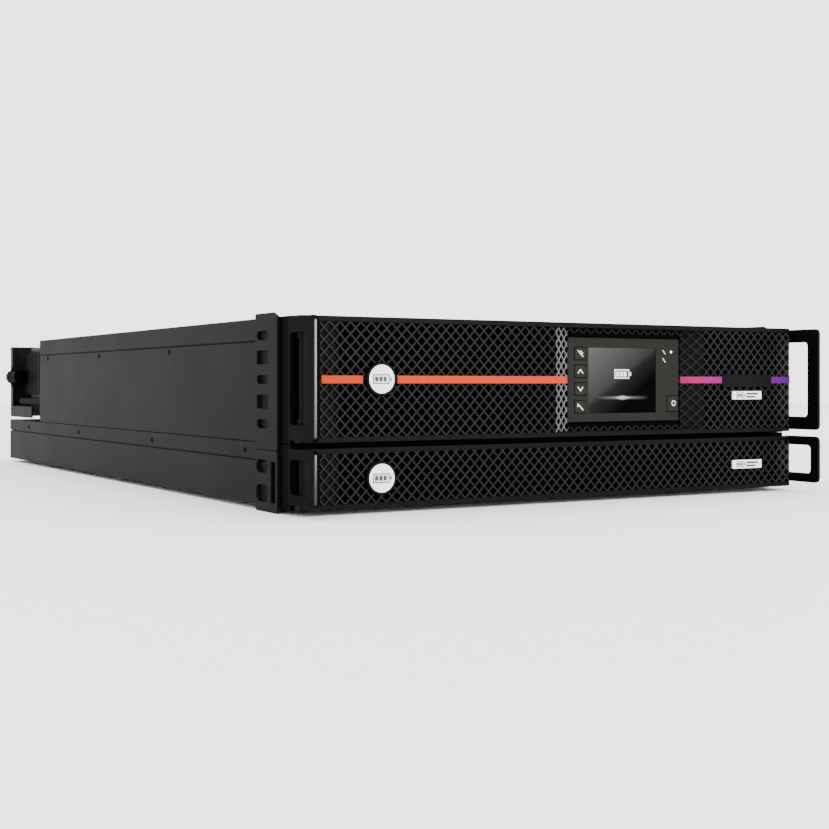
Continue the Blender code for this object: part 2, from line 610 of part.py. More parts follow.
def distribution():
    box("distribution_box", BOX_X, BOX_Y, BOX_Z, "black_plastic", 1.5 * MM)
    plate = box("distribution_plate", BOX_PLATE_X, BOX_PLATE_Y, BOX_PLATE_Z, "casing_paint")
    for number, edge in enumerate((BOX_PLATE_X[0], BOX_PLATE_X[1] - SHEET)):
        tab = box_shape((edge, edge + SHEET), (BOX_TAB_FRONT, BOX_PLATE_Y[1] - MM),
                        (BOX_PLATE_Z[0], BOX_TAB_TOP))
        weld(plate, tab, f"tab_{number}")
    for number, up in enumerate(((BOX_PLATE_Z[0], GLAND_CENTRE[1] - 10.5 * MM),
                                 (GLAND_CENTRE[1] + 10.5 * MM, BOX_PLATE_Z[1]))):
        fold = box_shape((BOX_PLATE_X[0], BOX_PLATE_X[0] + BOX_FOLD_SHEET),
                         (BOX_PLATE_Y[0] - 8 * MM, BOX_PLATE_Y[1] - MM), up)
        weld(plate, fold, f"fold_{number}")
    through = grown(BOX_PLATE_Y, 3 * MM)
    shave(plate, prism_shape(disc(GLAND_CENTRE, GLAND_THREAD + GAP, 16), "Y", through), "gland_hole")
    shave(plate, box_shape(grown(OUTLET_X, GAP), through, grown(OUTLET_Z, GAP)), "outlet_window")
    shave(plate, box_shape(grown(BREAKER_X, GAP), through, grown(BREAKER_Z, GAP)), "breaker_window")
    box("outlet_block", OUTLET_X, (BOX_PLATE_Y[0] - 18 * MM, BOX_PLATE_Y[1] + 1.5 * MM), OUTLET_Z,
        "black_plastic", MM)
    breaker("input_breaker", BREAKER_X, BREAKER_Z, BOX_PLATE_Y[1] + 1.5 * MM)
    gland = prism("cable_gland", disc(GLAND_CENTRE, GLAND_RADIUS, 16), "Y",
                  (BOX_PLATE_Y[1] + GAP, GLAND_REAR), "black_plastic",
                  (GLAND_CENTRE[0], BOX_PLATE_Y[1], GLAND_CENTRE[1]))
    thread = prism_shape(disc(GLAND_CENTRE, GLAND_THREAD, 16), "Y",
                         (GLAND_NUT_FRONT, BOX_PLATE_Y[1] + 4 * MM))
    weld(gland, thread, "thread")
    nut = prism_shape(disc(GLAND_CENTRE, GLAND_RADIUS, 6), "Y",
                      (BOX_PLATE_Y[0] - 20 * MM, BOX_PLATE_Y[0] - GAP))
    weld(gland, nut, "nut")
    shave(gland, prism_shape(disc(GLAND_CENTRE, 4 * MM, 12), "Y",
                             (GLAND_NUT_FRONT - MM, GLAND_REAR + MM)), "cable_way")


# Battery cabinet

def battery_inside():
    floor = SHEET + GAP
    roof = BATTERY_TOP - SHEET - GAP
    for number, across in enumerate(((-212 * MM, -2 * MM), (2 * MM, 212 * MM)), start=1):
        box(f"battery_pack_{number}", across, (60 * MM, 560 * MM), (floor + MM, roof - MM),
            "battery_wrap", 3 * MM)
    box("battery_management_board", (-200 * MM, 200 * MM), (580 * MM, 680 * MM),
        (floor + 4 * MM, floor + 5.6 * MM), "circuit_board")


def battery_rear():
    lip = WIDTH / 2 - 2 * SHEET - 3 * GAP
    up = (SHEET + GAP, BATTERY_TOP - SHEET - GAP)
    panel = box("battery_rear_panel", (-lip, lip), BATTERY_PANEL_Y, up, "casing_paint")
    through = grown(BATTERY_PANEL_Y, 3 * MM)
    rear = BATTERY_PANEL_Y[1] + 2 * MM
    for number, across in enumerate((BATTERY_SOCKET_X, BATTERY_BREAKER_X)):
        shave(panel, box_shape(grown(across, GAP), through, grown(BATTERY_FITTING_Z, GAP)),
              f"window_{number}")
    socket("battery_socket", BATTERY_SOCKET_X, BATTERY_FITTING_Z, rear)
    breaker("battery_breaker", BATTERY_BREAKER_X, BATTERY_FITTING_Z, rear)


def feet():
    number = 0
    for along in FOOT_Y:
        for across in (-FOOT_X, FOOT_X):
            number += 1
            foot = prism(f"foot_{number}", disc((across, along), FOOT_RADIUS, 16), "Z",
                         (-FOOT_HEIGHT, -GAP), "rubber", (across, along, -GAP))
            smooth(foot)


clear_scene()
DATUM = make_datum()
tray("ups_chassis", UPS_BOTTOM, UPS_TOP, UPS_SEAM, UPS_REAR)
lid("ups_top_cover", UPS_TOP, UPS_SEAM, UPS_REAR)
front_frame("ups_front_frame", (UPS_BOTTOM, UPS_TOP),
            [((-190 * MM, -24 * MM), (54 * MM, 116 * MM)),
             (grown(DISPLAY_X, GAP), grown(DISPLAY_Z, GAP)),
             ((134 * MM, 190 * MM), (54 * MM, 116 * MM))])
tray("battery_chassis", 0.0, BATTERY_TOP, BATTERY_SEAM, BATTERY_REAR)
lid("battery_top_cover", BATTERY_TOP, BATTERY_SEAM, BATTERY_REAR)
front_frame("battery_front_frame", (0.0, BATTERY_TOP), [((-190 * MM, 190 * MM), (8 * MM, 34 * MM))])
ears()
handles()
bezel("ups_bezel", UPS_BEZEL_Z, (58.9 * MM, 111.5 * MM), UPS_HANDLE_FOOT_Z)
bezel("battery_bezel", BATTERY_BEZEL_Z, (10.5 * MM, 32.5 * MM), BATTERY_HANDLE_FOOT_Z)
ups_grille()
battery_grille()
stripes()
display()
power_electronics()
fans()
ups_rear()
distribution()
battery_inside()
battery_rear()
feet()
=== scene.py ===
"""Looks of a rackmount UPS: a 2U power module with its display, standing on a 1U battery cabinet.

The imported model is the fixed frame. Its casings, frames and handles are copied with real edge
rounds, and the meshes, bezels, display, badges and rear fittings are modelled again in detail.
Lengths are in metres. X runs to the right, Y from the bezels to the rear, Z up.
"""
import json
import math

import bpy
import numpy as np
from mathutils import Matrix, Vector

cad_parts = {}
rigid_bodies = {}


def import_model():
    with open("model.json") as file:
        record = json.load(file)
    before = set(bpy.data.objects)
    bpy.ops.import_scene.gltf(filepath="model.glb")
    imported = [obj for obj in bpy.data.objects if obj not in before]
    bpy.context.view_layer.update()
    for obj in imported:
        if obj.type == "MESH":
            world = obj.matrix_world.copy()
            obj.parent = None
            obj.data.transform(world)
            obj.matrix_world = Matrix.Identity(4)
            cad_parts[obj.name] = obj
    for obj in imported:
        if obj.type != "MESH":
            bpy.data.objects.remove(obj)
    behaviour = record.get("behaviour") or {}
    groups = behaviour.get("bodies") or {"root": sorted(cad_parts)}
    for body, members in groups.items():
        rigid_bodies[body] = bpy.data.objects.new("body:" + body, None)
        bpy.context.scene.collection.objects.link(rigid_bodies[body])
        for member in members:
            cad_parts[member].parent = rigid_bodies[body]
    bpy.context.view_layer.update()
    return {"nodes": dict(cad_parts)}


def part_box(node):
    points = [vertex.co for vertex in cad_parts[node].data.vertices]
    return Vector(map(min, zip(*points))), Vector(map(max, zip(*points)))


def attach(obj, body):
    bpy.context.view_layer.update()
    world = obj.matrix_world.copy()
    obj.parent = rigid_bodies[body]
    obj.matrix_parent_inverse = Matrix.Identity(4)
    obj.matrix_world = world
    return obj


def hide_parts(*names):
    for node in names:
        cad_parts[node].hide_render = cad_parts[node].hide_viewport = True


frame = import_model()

bl_info = {
    "name": "Rackmount UPS",
    "version": (1, 0, 0),
    "blender": (4, 5, 0),
    "location": "View3D > Sidebar > UPS",
    "description": "Builds the visible pieces of a rackmount UPS and its battery cabinet",
    "category": "Add Mesh",
}

MM = 0.001
NODES = frame["nodes"]

# Planes and spans taken from the frame
BEZEL_LOW, BEZEL_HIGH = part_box("ups_bezel")
CABINET_LOW, CABINET_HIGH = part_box("battery_bezel")
FRONT = BEZEL_LOW.y                     # front plane of both bezels
BEZEL_HALF = BEZEL_HIGH.x
DISPLAY_LOW, DISPLAY_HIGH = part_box("display_housing")
SCREEN_LOW, SCREEN_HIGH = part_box("display_screen")
HANDLE_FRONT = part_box("ups_handle_left")[0].y
HANDLE_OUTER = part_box("ups_handle_right")[1].x
EAR_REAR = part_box("ups_ear_right")[1].y
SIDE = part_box("ups_chassis")[1].x       # outer plane of the casings' sides
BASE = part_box("battery_chassis")[0].z   # underside of the cabinet
CORNER = 3 * MM                         # plan radius of a bezel's front corners
TINY = 0.02 * MM


def looks():
    return bpy.context.scene.ups_looks


# Finishes: linear colours, and the places where one gives way to another

# Painted shade: near-black strip on the casings' sides beneath the ears
EAR_SHADE_BLACK = (0.0012, 0.0012, 0.0008)
# Painted highlight: satin metal band along the handles' outer front edges
EDGE_HIGHLIGHT_METAL = (0.03, 0.03, 0.031)
EDGE_HIGHLIGHT_DEPTH = 0.6 * MM                 # how far back the painted highlight on a handle's front edge reaches
EDGE_HIGHLIGHT_WIDTH = 1.9 * MM                 # and how far in from its outer face
EDGE_HIGHLIGHT_BLEND = 0.4 * MM
# Painted highlight: pale grey on the grille strands at the 2U slope and the right end
STRAND_HIGHLIGHT_GREY = (0.1, 0.1, 0.1)
STRAND_HIGHLIGHT_END = 22 * MM                      # painted highlight: the grilles' strands turn paler over this stretch at the right
STRAND_HIGHLIGHT_BLEND = 16 * MM
SCREEN_DARK = (0.0015, 0.0015, 0.0015)
SCREEN_PALE = (0.19, 0.19, 0.187)
GLOW_HEIGHT = 0.235                     # of the screen's height, where its glow line runs


# Shader expressions

class Wire:
    """The output of a shader node, which can be used in arithmetic."""

    def __init__(self, paint, socket):
        self.paint = paint
        self.socket = socket

    def _with(self, operation, *values):
        return self.paint.node("ShaderNodeMath", {"operation": operation}, dict(enumerate(values)))

    def __add__(self, other):
        return self._with("ADD", self, other)

    __radd__ = __add__

    def __sub__(self, other):
        return self._with("SUBTRACT", self, other)

    def __rsub__(self, other):
        return self._with("SUBTRACT", other, self)

    def __mul__(self, other):
        return self._with("MULTIPLY", self, other)

    __rmul__ = __mul__

    def __gt__(self, other):
        return self._with("GREATER_THAN", self, other)

    def __lt__(self, other):
        return self._with("LESS_THAN", self, other)

    def __abs__(self):
        return self._with("ABSOLUTE", self)

    def clipped(self):
        return self._with("MINIMUM", self._with("MAXIMUM", self, 0.0), 1.0)


class Paint:
    """A material being written: one Principled shader and the nodes that feed it."""

    def __init__(self, name, roughness, metallic=0.0, sheen=0.5):
        self.material = bpy.data.materials.new(name)
        self.material.use_nodes = True
        self.tree = self.material.node_tree
        self.shader = self.tree.nodes["Principled BSDF"]
        self.shader.inputs["Roughness"].default_value = roughness
        self.shader.inputs["Metallic"].default_value = metallic
        self.shader.inputs["Specular IOR Level"].default_value = sheen
        self.place = self.node("ShaderNodeTexCoord", output="Object")

    def node(self, kind, settings=None, inputs=None, output=0):
        made = self.tree.nodes.new(kind)
        for key, value in (settings or {}).items():
            if key == "stops":
                self.set_stops(made.color_ramp, value)
            else:
                setattr(made, key, value)
        for socket, value in (inputs or {}).items():
            if isinstance(value, Wire):
                self.tree.links.new(value.socket, made.inputs[socket])
            else:
                made.inputs[socket].default_value = value
        return Wire(self, made.outputs[output])

    @staticmethod
    def set_stops(ramp, stops):
        while len(ramp.elements) < len(stops):
            ramp.elements.new(0.5)
        for element, (position, colour) in zip(ramp.elements, stops):
            element.position = position
            element.color = (*colour, 1)

    def noise(self, size, detail=2.0, rough=0.5, stretch=(1, 1, 1)):
        """Noise whose features are about size metres across."""
        place = self.node("ShaderNodeMapping", None, {"Vector": self.place, "Scale": stretch})
        return self.node("ShaderNodeTexNoise", None, {
            "Vector": place, "Scale": 1 / size, "Detail": detail, "Roughness": rough}, output="Fac")

    def axis(self, letter):
        return self.node("ShaderNodeSeparateXYZ", None, {0: self.place}, output=letter)

    def mix(self, share, first, second):
        """Mix two colours; each is a wire or an (r, g, b)."""
        colours = [value if isinstance(value, Wire) else (*value, 1) for value in (first, second)]
        return self.node("ShaderNodeMix", {"data_type": "RGBA"},
                         {0: share, 6: colours[0], 7: colours[1]}, output=2)

    def set(self, socket, value):
        self.tree.links.new(value.socket, self.shader.inputs[socket])

    def bump(self, height, depth, strength=1.0):
        self.set("Normal", self.node("ShaderNodeBump", None, {
            "Height": height, "Distance": depth, "Strength": strength}))


def shaded(colour, gain):
    return tuple(min(1.0, channel * gain) for channel in colour)


def powder_coat(name, colour, roughness=0.5, sheen=0.02, ears=False):
    """Baked powder paint: orange-peel grain, faint clouding and slightly uneven gloss.

    With ears, the sides carry a dark strip of painted shade beneath the ears, seen through their holes.
    """
    paint = Paint(name, roughness, sheen=sheen)
    peel = paint.noise(0.55 * MM, 3.0, 0.55)
    cloud = paint.noise(60 * MM, 3.0)
    fleck = paint.noise(0.35 * MM, 1.0)
    share = (cloud * 0.7 + fleck * 0.3).clipped()
    coat = paint.mix(share, shaded(colour, 0.82), shaded(colour, 1.18))
    if ears:
        # painted shade on the sides beneath the ears
        across, along = abs(paint.axis("X")), paint.axis("Y")
        on_side = (across > SIDE - 0.3 * MM) * (across < SIDE + 0.15 * MM)
        ear_shade = on_side * (along < EAR_REAR - MM)
        coat = paint.mix(ear_shade, coat, EAR_SHADE_BLACK)
    paint.set("Base Color", coat)
    paint.set("Roughness", (peel - 0.5) * 0.22 + (cloud - 0.5) * 0.12 + roughness)
    paint.bump(peel, 0.03 * MM, 0.6)
    return paint.material


def edged_coat(name, colour):
    """Black paint, with a painted highlight along the outer front edge of a handle, where it turns to satin
    metal that catches the light.
    """
    paint = Paint(name, 0.5, sheen=0.008)
    peel = paint.noise(0.5 * MM, 3.0)
    blend = 1 / EDGE_HIGHLIGHT_BLEND
    # painted highlight on the handle's outer front edge
    front = ((HANDLE_FRONT + EDGE_HIGHLIGHT_DEPTH - paint.axis("Y")) * blend).clipped()
    outer = ((abs(paint.axis("X")) - HANDLE_OUTER + EDGE_HIGHLIGHT_WIDTH) * blend).clipped()
    edge_highlight = front * outer
    paint.set("Base Color", paint.mix(edge_highlight, colour, EDGE_HIGHLIGHT_METAL))
    paint.set("Metallic", edge_highlight)
    paint.set("Roughness", (peel - 0.5) * 0.08 + 0.5 - edge_highlight * 0.3)
    paint.bump(peel, 0.006 * MM, 0.4)
    return paint.material


def moulding(name, colour, roughness=0.45, sheen=0.07, highlight_share=None):
    """Spark-eroded moulded plastic: very fine matt grain with faint flow marks.

    Where a function of the paint is given, its share of the plastic turns pale grey as a painted highlight.
    """
    paint = Paint(name, roughness, sheen=sheen)
    spark = paint.noise(0.3 * MM, 2.0, 0.6)
    flow = paint.noise(35 * MM, 2.0, 0.5, (1, 1, 3))
    plastic = paint.mix(flow, shaded(colour, 0.85), shaded(colour, 1.15))
    if highlight_share:
        plastic = paint.mix(highlight_share(paint), plastic, STRAND_HIGHLIGHT_GREY)
    paint.set("Base Color", plastic)
    paint.set("Roughness", (spark - 0.5) * 0.2 + (flow - 0.5) * 0.1 + roughness)
    paint.bump(spark, 0.012 * MM, 0.5)
    return paint.material


def highlighted_strands(paint):
    """Share of painted highlight on the grilles: the 2U slope left of the display, then the right end."""
    across = paint.axis("X")
    slope = (across > RECESS_LEFT[0]) * (across < RECESS_LEFT[1]) * (paint.axis("Z") > MESH_FOOT)
    right = (across > RECESS_RIGHT[0]) * 0.015
    turn = ((across - BEZEL_HALF + STRAND_HIGHLIGHT_END) * (1 / STRAND_HIGHLIGHT_BLEND)).clipped() * 0.1
    return (slope + right + turn).clipped()


def plated_steel(name, colour=(0.55, 0.56, 0.58)):
    """Zinc-plated screws and plates: cloudy plating with fine scratches."""
    paint = Paint(name, 0.32, 1.0)
    cloud = paint.noise(3 * MM, 3.0)
    scratch = paint.noise(0.5 * MM, 2.0, 0.6, (1, 8, 1))
    paint.set("Base Color", paint.mix(cloud, shaded(colour, 0.75), colour))
    paint.set("Roughness", cloud * 0.25 + scratch * 0.12 + 0.16)
    paint.bump(scratch, 0.01 * MM, 0.4)
    return paint.material


def inlay(name, stops, low, high):
    """Printed strip whose colour runs along X between two places."""
    paint = Paint(name, 0.42, sheen=0.04)
    along = ((paint.axis("X") - low) * (1 / (high - low))).clipped()
    ramp = paint.node("ShaderNodeValToRGB", {"stops": stops}, {0: along})
    grain = paint.noise(0.4 * MM, 2.0)
    paint.set("Base Color", paint.mix(grain * 0.08, ramp, (0.3, 0.05, 0.06)))
    paint.set("Roughness", (grain - 0.5) * 0.2 + 0.42)
    paint.bump(grain, 0.008 * MM, 0.4)
    return paint.material


def print_ink(name, colour, roughness=0.5, glow=0.0):
    paint = Paint(name, roughness)
    grain = paint.noise(0.25 * MM, 2.0)
    paint.set("Base Color", paint.mix(grain, shaded(colour, 0.92), colour))
    paint.set("Roughness", (grain - 0.5) * 0.15 + roughness)
    if glow:
        paint.shader.inputs["Emission Strength"].default_value = glow
        paint.shader.inputs["Emission Color"].default_value = (*colour, 1)
    return paint.material


def lcd_glass(name):
    """Lit splash screen: charcoal field and glow line near the foot, with a pale diagonal sheen that is a
    painted reflection on the glass.
    """
    paint = Paint(name, 0.3, sheen=0.0)
    wide = SCREEN_HIGH.x - SCREEN_LOW.x
    high = SCREEN_HIGH.z - SCREEN_LOW.z
    across = (paint.axis("X") - SCREEN_LOW.x) * (1 / wide)
    up = (paint.axis("Z") - SCREEN_LOW.z) * (1 / high)
    fade = (up * 0.75 - across * 0.75 + 0.3).clipped()
    # painted reflection: a pale diagonal sheen over the upper left of the glass
    sheen = ((up - across * 0.85 - 0.06) * 9).clipped()
    field = paint.mix((fade * (sheen * 0.55 + 0.45)).clipped(), SCREEN_DARK, SCREEN_PALE)
    offset, rise = abs(across - 0.5), abs(up - GLOW_HEIGHT)
    line = (1 - rise * 30).clipped() * (1 - offset * 2.6).clipped()
    core = (1 - rise * 22 - offset * 6.5).clipped()
    glow = (line * 0.4 + core).clipped()
    colour = paint.mix(glow, field, (0.95, 0.97, 1.0))
    paint.shader.inputs["Base Color"].default_value = (0.001, 0.001, 0.001, 1)
    paint.set("Emission Color", colour)
    paint.shader.inputs["Emission Strength"].default_value = looks().screen_glow
    smear = paint.noise(12 * MM, 3.0)
    paint.set("Roughness", smear * 0.2 + 0.2)
    return paint.material


def circuit_laminate(name):
    paint = Paint(name, 0.42)
    weave = paint.node("ShaderNodeTexBrick", {"offset": 0.5}, {
        "Vector": paint.place, "Scale": 90.0, "Color1": (0.012, 0.09, 0.04, 1),
        "Color2": (0.02, 0.14, 0.06, 1), "Mortar": (0.05, 0.22, 0.09, 1),
        "Mortar Size": 0.03}, output="Color")
    paint.set("Base Color", weave)
    paint.set("Roughness", paint.noise(2 * MM) * 0.2 + 0.32)
    return paint.material


def shrink_wrap(name, colour):
    paint = Paint(name, 0.35)
    crease = paint.noise(25 * MM, 4.0, 0.6, (1, 3, 1))
    paint.set("Base Color", paint.mix(crease, shaded(colour, 0.8), shaded(colour, 1.3)))
    paint.set("Roughness", crease * 0.2 + 0.25)
    paint.bump(crease, 0.3 * MM, 0.5)
    return paint.material


def winding(name):
    paint = Paint(name, 0.38)
    wave = paint.node("ShaderNodeTexWave", {"bands_direction": "Z"}, {
        "Vector": paint.place, "Scale": 160.0, "Distortion": 0.6}, output="Fac")
    paint.set("Base Color", paint.mix(wave, (0.10, 0.035, 0.012), (0.42, 0.17, 0.06)))
    paint.bump(wave, 0.3 * MM, 0.7)
    return paint.material


def foam(name):
    """Near-black open-pored pad behind a grille, painted shade for the dark inside of the casing."""
    paint = Paint(name, 0.95, sheen=0.0)
    pores = paint.noise(1.2 * MM, 3.0, 0.7)
    paint.set("Base Color", paint.mix(pores, (0.0004, 0.0004, 0.0005), (0.0022, 0.0022, 0.0024)))
    paint.bump(pores, 0.3 * MM, 0.8)
    return paint.material


def rubber(name):
    paint = Paint(name, 0.8)
    grain = paint.noise(0.6 * MM, 3.0)
    paint.set("Base Color", paint.mix(grain, (0.008, 0.008, 0.008), (0.02, 0.02, 0.019)))
    paint.bump(grain, 0.05 * MM, 0.6)
    return paint.material


# Colours along the stripes, from their left end (0) to their right end (1)
ORANGE_STOPS = [(0, (0.37, 0.030, 0.007)), (1, (0.40, 0.035, 0.008))]
MAGENTA_STOPS = [(0, (0.26, 0.010, 0.07)), (0.28, (0.18, 0.008, 0.12)), (1, (0.032, 0.001, 0.12))]
PAINTS = {}


def paint_of(name):
    """Each finish is written once, when a piece first asks for it."""
    if name not in PAINTS:
        casing = tuple(looks().casing_colour)
        PAINTS[name] = {
            "casing": lambda: powder_coat("casing_powder_coat", casing, ears=True),
            "frame": lambda: powder_coat("frame_black_paint", (0.0011, 0.0011, 0.0012), 0.55, 0.008),
            "handle": lambda: edged_coat("handle_black_paint", (0.0016, 0.0016, 0.0017)),
            "bezel": lambda: moulding("bezel_plastic", (0.0018, 0.0018, 0.0019), 0.42, 0.04),
            # the mesh carries a painted highlight on some of its strands
            "mesh": lambda: moulding("mesh_plastic", (0.006, 0.006, 0.006), 0.42, highlight_share=highlighted_strands),
            "backing": lambda: moulding("mesh_backing", (0.0016, 0.0016, 0.0015), 0.7),
            # near-black pads behind the grilles: painted shade
            "foam": lambda: foam("shade_pad_foam"),
            "display": lambda: moulding("display_plastic", (0.0085, 0.0084, 0.0066), 0.5),
            "key": lambda: moulding("key_plastic", (0.0098, 0.0097, 0.0082), 0.42),
            "screen": lambda: lcd_glass("display_glass"),
            "black": lambda: moulding("black_moulding", (0.003, 0.003, 0.003), 0.5),
            "orange": lambda: inlay("orange_inlay", ORANGE_STOPS, -BEZEL_HALF, 0.0),
            "magenta": lambda: inlay("magenta_inlay", MAGENTA_STOPS, DISPLAY_HIGH.x, BEZEL_HALF),
            "white": lambda: print_ink("white_badge", (0.86, 0.86, 0.86), 0.4),
            "ink": lambda: print_ink("dark_ink", (0.012, 0.012, 0.012), 0.5),
            # the signs glow faintly: on the keys and the housing's marks this glow is painted light, on the
            # screen it is the screen's own light
            "icon": lambda: print_ink("key_icon", (0.7, 0.7, 0.68), 0.5, 0.25),
            "lamp": lambda: print_ink("lamp_lens", (0.95, 0.97, 1.0), 0.3, 1.2),
            "zinc": lambda: plated_steel("zinc_plate"),
            "aluminium": lambda: plated_steel("extruded_aluminium", (0.62, 0.62, 0.63)),
            "brass": lambda: plated_steel("brass_contact", (0.72, 0.5, 0.2)),
            "board": lambda: circuit_laminate("circuit_board"),
            "wrap": lambda: shrink_wrap("battery_wrap", (0.015, 0.04, 0.11)),
            "coil": lambda: winding("coil_lacquer"),
            "rubber": lambda: rubber("foot_rubber"),
        }[name]()
    return PAINTS[name]


# Modelling helpers

def only(*pieces):
    bpy.ops.object.select_all(action="DESELECT")
    for piece in pieces:
        piece.select_set(True)
    bpy.context.view_layer.objects.active = pieces[0]


def settle(piece):
    """Bake an object's place, turn and size into its mesh."""
    only(piece)
    bpy.ops.object.transform_apply(location=True, rotation=True, scale=True)
    return piece


def new_piece(name):
    piece = bpy.context.active_object
    piece.name = name
    piece.data.name = name
    return settle(piece)


def add_block(name, low, high):
    low, high = Vector(low), Vector(high)
    bpy.ops.object.select_all(action="DESELECT")
    bpy.ops.mesh.primitive_cube_add(size=1, location=(low + high) / 2, scale=high - low)
    return new_piece(name)


SMOOTH_ANGLE = math.radians(32)
TURNS = {"X": (0, math.pi / 2, 0), "Y": (math.pi / 2, 0, 0), "Z": (0, 0, 0)}


def add_rod(name, centre, radius, length, axis="Y", sides=32):
    bpy.ops.object.select_all(action="DESELECT")
    bpy.ops.mesh.primitive_cylinder_add(vertices=sides, radius=radius, depth=length,
                                        location=centre, rotation=TURNS[axis])
    return new_piece(name)


def modify(piece, kind, **settings):
    only(piece)
    modifier = piece.modifiers.new(kind.lower(), kind)
    for key, value in settings.items():
        setattr(modifier, key, value)
    bpy.ops.object.modifier_apply(modifier=modifier.name)
    return piece


def rounded_edges(piece, width, segments=2, angle=30):
    modify(piece, "BEVEL", width=width, segments=segments, limit_method="ANGLE",
           angle_limit=math.radians(angle), harden_normals=False, miter_outer="MITER_ARC")
    return piece


def carve(piece, *tools, operation="DIFFERENCE"):
    """Cut tools out of a piece, or weld them on, and throw the tools away."""
    for tool in tools:
        modify(piece, "BOOLEAN", operation=operation, object=tool, solver="EXACT")
        bpy.data.objects.remove(tool, do_unlink=True)
    return piece


def joined(name, pieces):
    only(*pieces)
    if len(pieces) > 1:
        bpy.ops.object.join()
    return new_piece(name)


def edit(piece, mode="FACE"):
    only(piece)
    bpy.ops.object.mode_set(mode="EDIT")
    bpy.ops.mesh.select_mode(type=mode)
    bpy.ops.mesh.select_all(action="SELECT")


def done():
    bpy.ops.object.mode_set(mode="OBJECT")


def pick_faces(piece, test):
    """Select in edit mode the faces whose centre and normal pass a test."""
    bpy.ops.object.mode_set(mode="OBJECT")
    for face in piece.data.polygons:
        face.select = bool(test(face.center, face.normal))
    bpy.ops.object.mode_set(mode="EDIT")


def soften(piece):
    """Smooth shading over the edge rounds, with flat faces kept flat."""
    only(piece)
    bpy.ops.object.shade_smooth_by_angle(angle=SMOOTH_ANGLE)
    modify(piece, "WEIGHTED_NORMAL", keep_sharp=True)
    return piece


def wear(piece, body, slot, paint, *stands_for):
    """Give a finished piece its finish, its body and the nodes that it stands for."""
    piece.data.materials.clear()
    piece.data.materials.append(paint_of(paint))
    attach(piece, body)
    if stands_for:
        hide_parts(*stands_for)
    return piece


def copy_of(node, name):
    """A merged copy of a frame node, whose flat faces are whole again."""
    only(NODES[node])
    bpy.ops.object.duplicate()
    piece = bpy.context.active_object
    bpy.ops.object.parent_clear(type="CLEAR_KEEP_TRANSFORM")
    for tag in [key for key in piece.keys() if key.startswith("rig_")]:
        del piece[tag]
    piece.name = name
    piece.data.name = name
    if piece.data.has_custom_normals:
        bpy.ops.mesh.customdata_custom_splitnormals_clear()
    edit(piece, "VERT")
    bpy.ops.mesh.remove_doubles(threshold=TINY)
    bpy.ops.mesh.dissolve_limited(angle_limit=math.radians(0.6))
    done()
    return settle(piece)


def refined(node, name, body, slot, paint, width, segments=2):
    """A node's own shape with real edge rounds, which stands for it."""
    piece = copy_of(node, name)
    rounded_edges(piece, width, segments)
    soften(piece)
    return wear(piece, body, slot, paint, node)


def repaint(node, paint):
    """A node whose shape is right keeps it and gets its own finish."""
    piece = NODES[node]
    piece.data.materials.clear()
    piece.data.materials.append(paint_of(paint))


def screw(name, centre, radius, facing, proud=0.5 * MM):
    """Countersunk cross-head screw; facing is the axis letter and the way out, such as (X, -1)."""
    letter, way = facing
    step = Vector((letter == "X", letter == "Y", letter == "Z")) * way
    centre = Vector(centre)
    head = add_rod(name, centre + step * (proud / 2), radius, proud, letter, 20)
    rounded_edges(head, 0.2 * MM, 1)
    for turned in (0, 1):
        size = [0.45 * radius * 2.6, 0.13 * radius * 2.6]
        if turned:
            size.reverse()
        half = {"X": (proud, size[0], size[1]), "Y": (size[0], proud, size[1]),
                "Z": (size[0], size[1], proud)}[letter]
        half = Vector(half) * 0.5
        middle = centre + step * (proud * 1.05)
        carve(head, add_block("driver_cut", middle - half, middle + half))
    return head


# Badges
BADGE_X = -159.8 * MM
BADGE_DISC = 9.5 * MM                   # radius of the white face
BADGE_BOSS = 11.2 * MM                  # radius of the black boss
BADGE_GAP = 13.2 * MM                   # radius of the gap in the stripe round the boss

# Sheets that follow a bezel's front: modelled flat, then wrapped round its corners

FLAT_HALF = BEZEL_HALF - CORNER
MESH_TURN = math.radians(60)            # how far the mesh wraps round each corner
MESH_RIGHT = FLAT_HALF + CORNER * MESH_TURN
MESH_LEFT = -204.2 * MM                 # the left corner is solid
RECESS_LEFT = (-15.9 * MM, DISPLAY_LOW.x - 0.5 * MM)      # rim and foot of each slope
RECESS_RIGHT = (126 * MM, DISPLAY_HIGH.x + 0.5 * MM)
MESH_FOOT = BASE + 46.9 * MM            # the 2U mesh, from rim to rim
MESH_HEAD = BASE + 122.5 * MM
OPENING_FOOT = BASE + 50.4 * MM         # the opening for the display
OPENING_HEAD = BASE + 118.9 * MM
RECESS_DEPTH = DISPLAY_LOW.y - FRONT - 0.1 * MM
BACKING_RIGHT = -190 * MM               # where the solid plates at the left end
BACKING_INWARD = (1.6 * MM, 2.3 * MM)   # front and rear of those plates, behind the bezel's front
# front and rear of the near-black pads of painted shade, behind the bezel's front
SHADE_PAD_INWARD = (6 * MM, 8.5 * MM)


def recess_depth(across):
    """How far the front stands back at a place, between the slopes on both sides of the display."""
    share = np.ones_like(across)
    for rim, foot in (RECESS_LEFT, RECESS_RIGHT):
        share = np.minimum(share, np.clip((across - rim) / (foot - rim), 0, 1))
    return share * RECESS_DEPTH


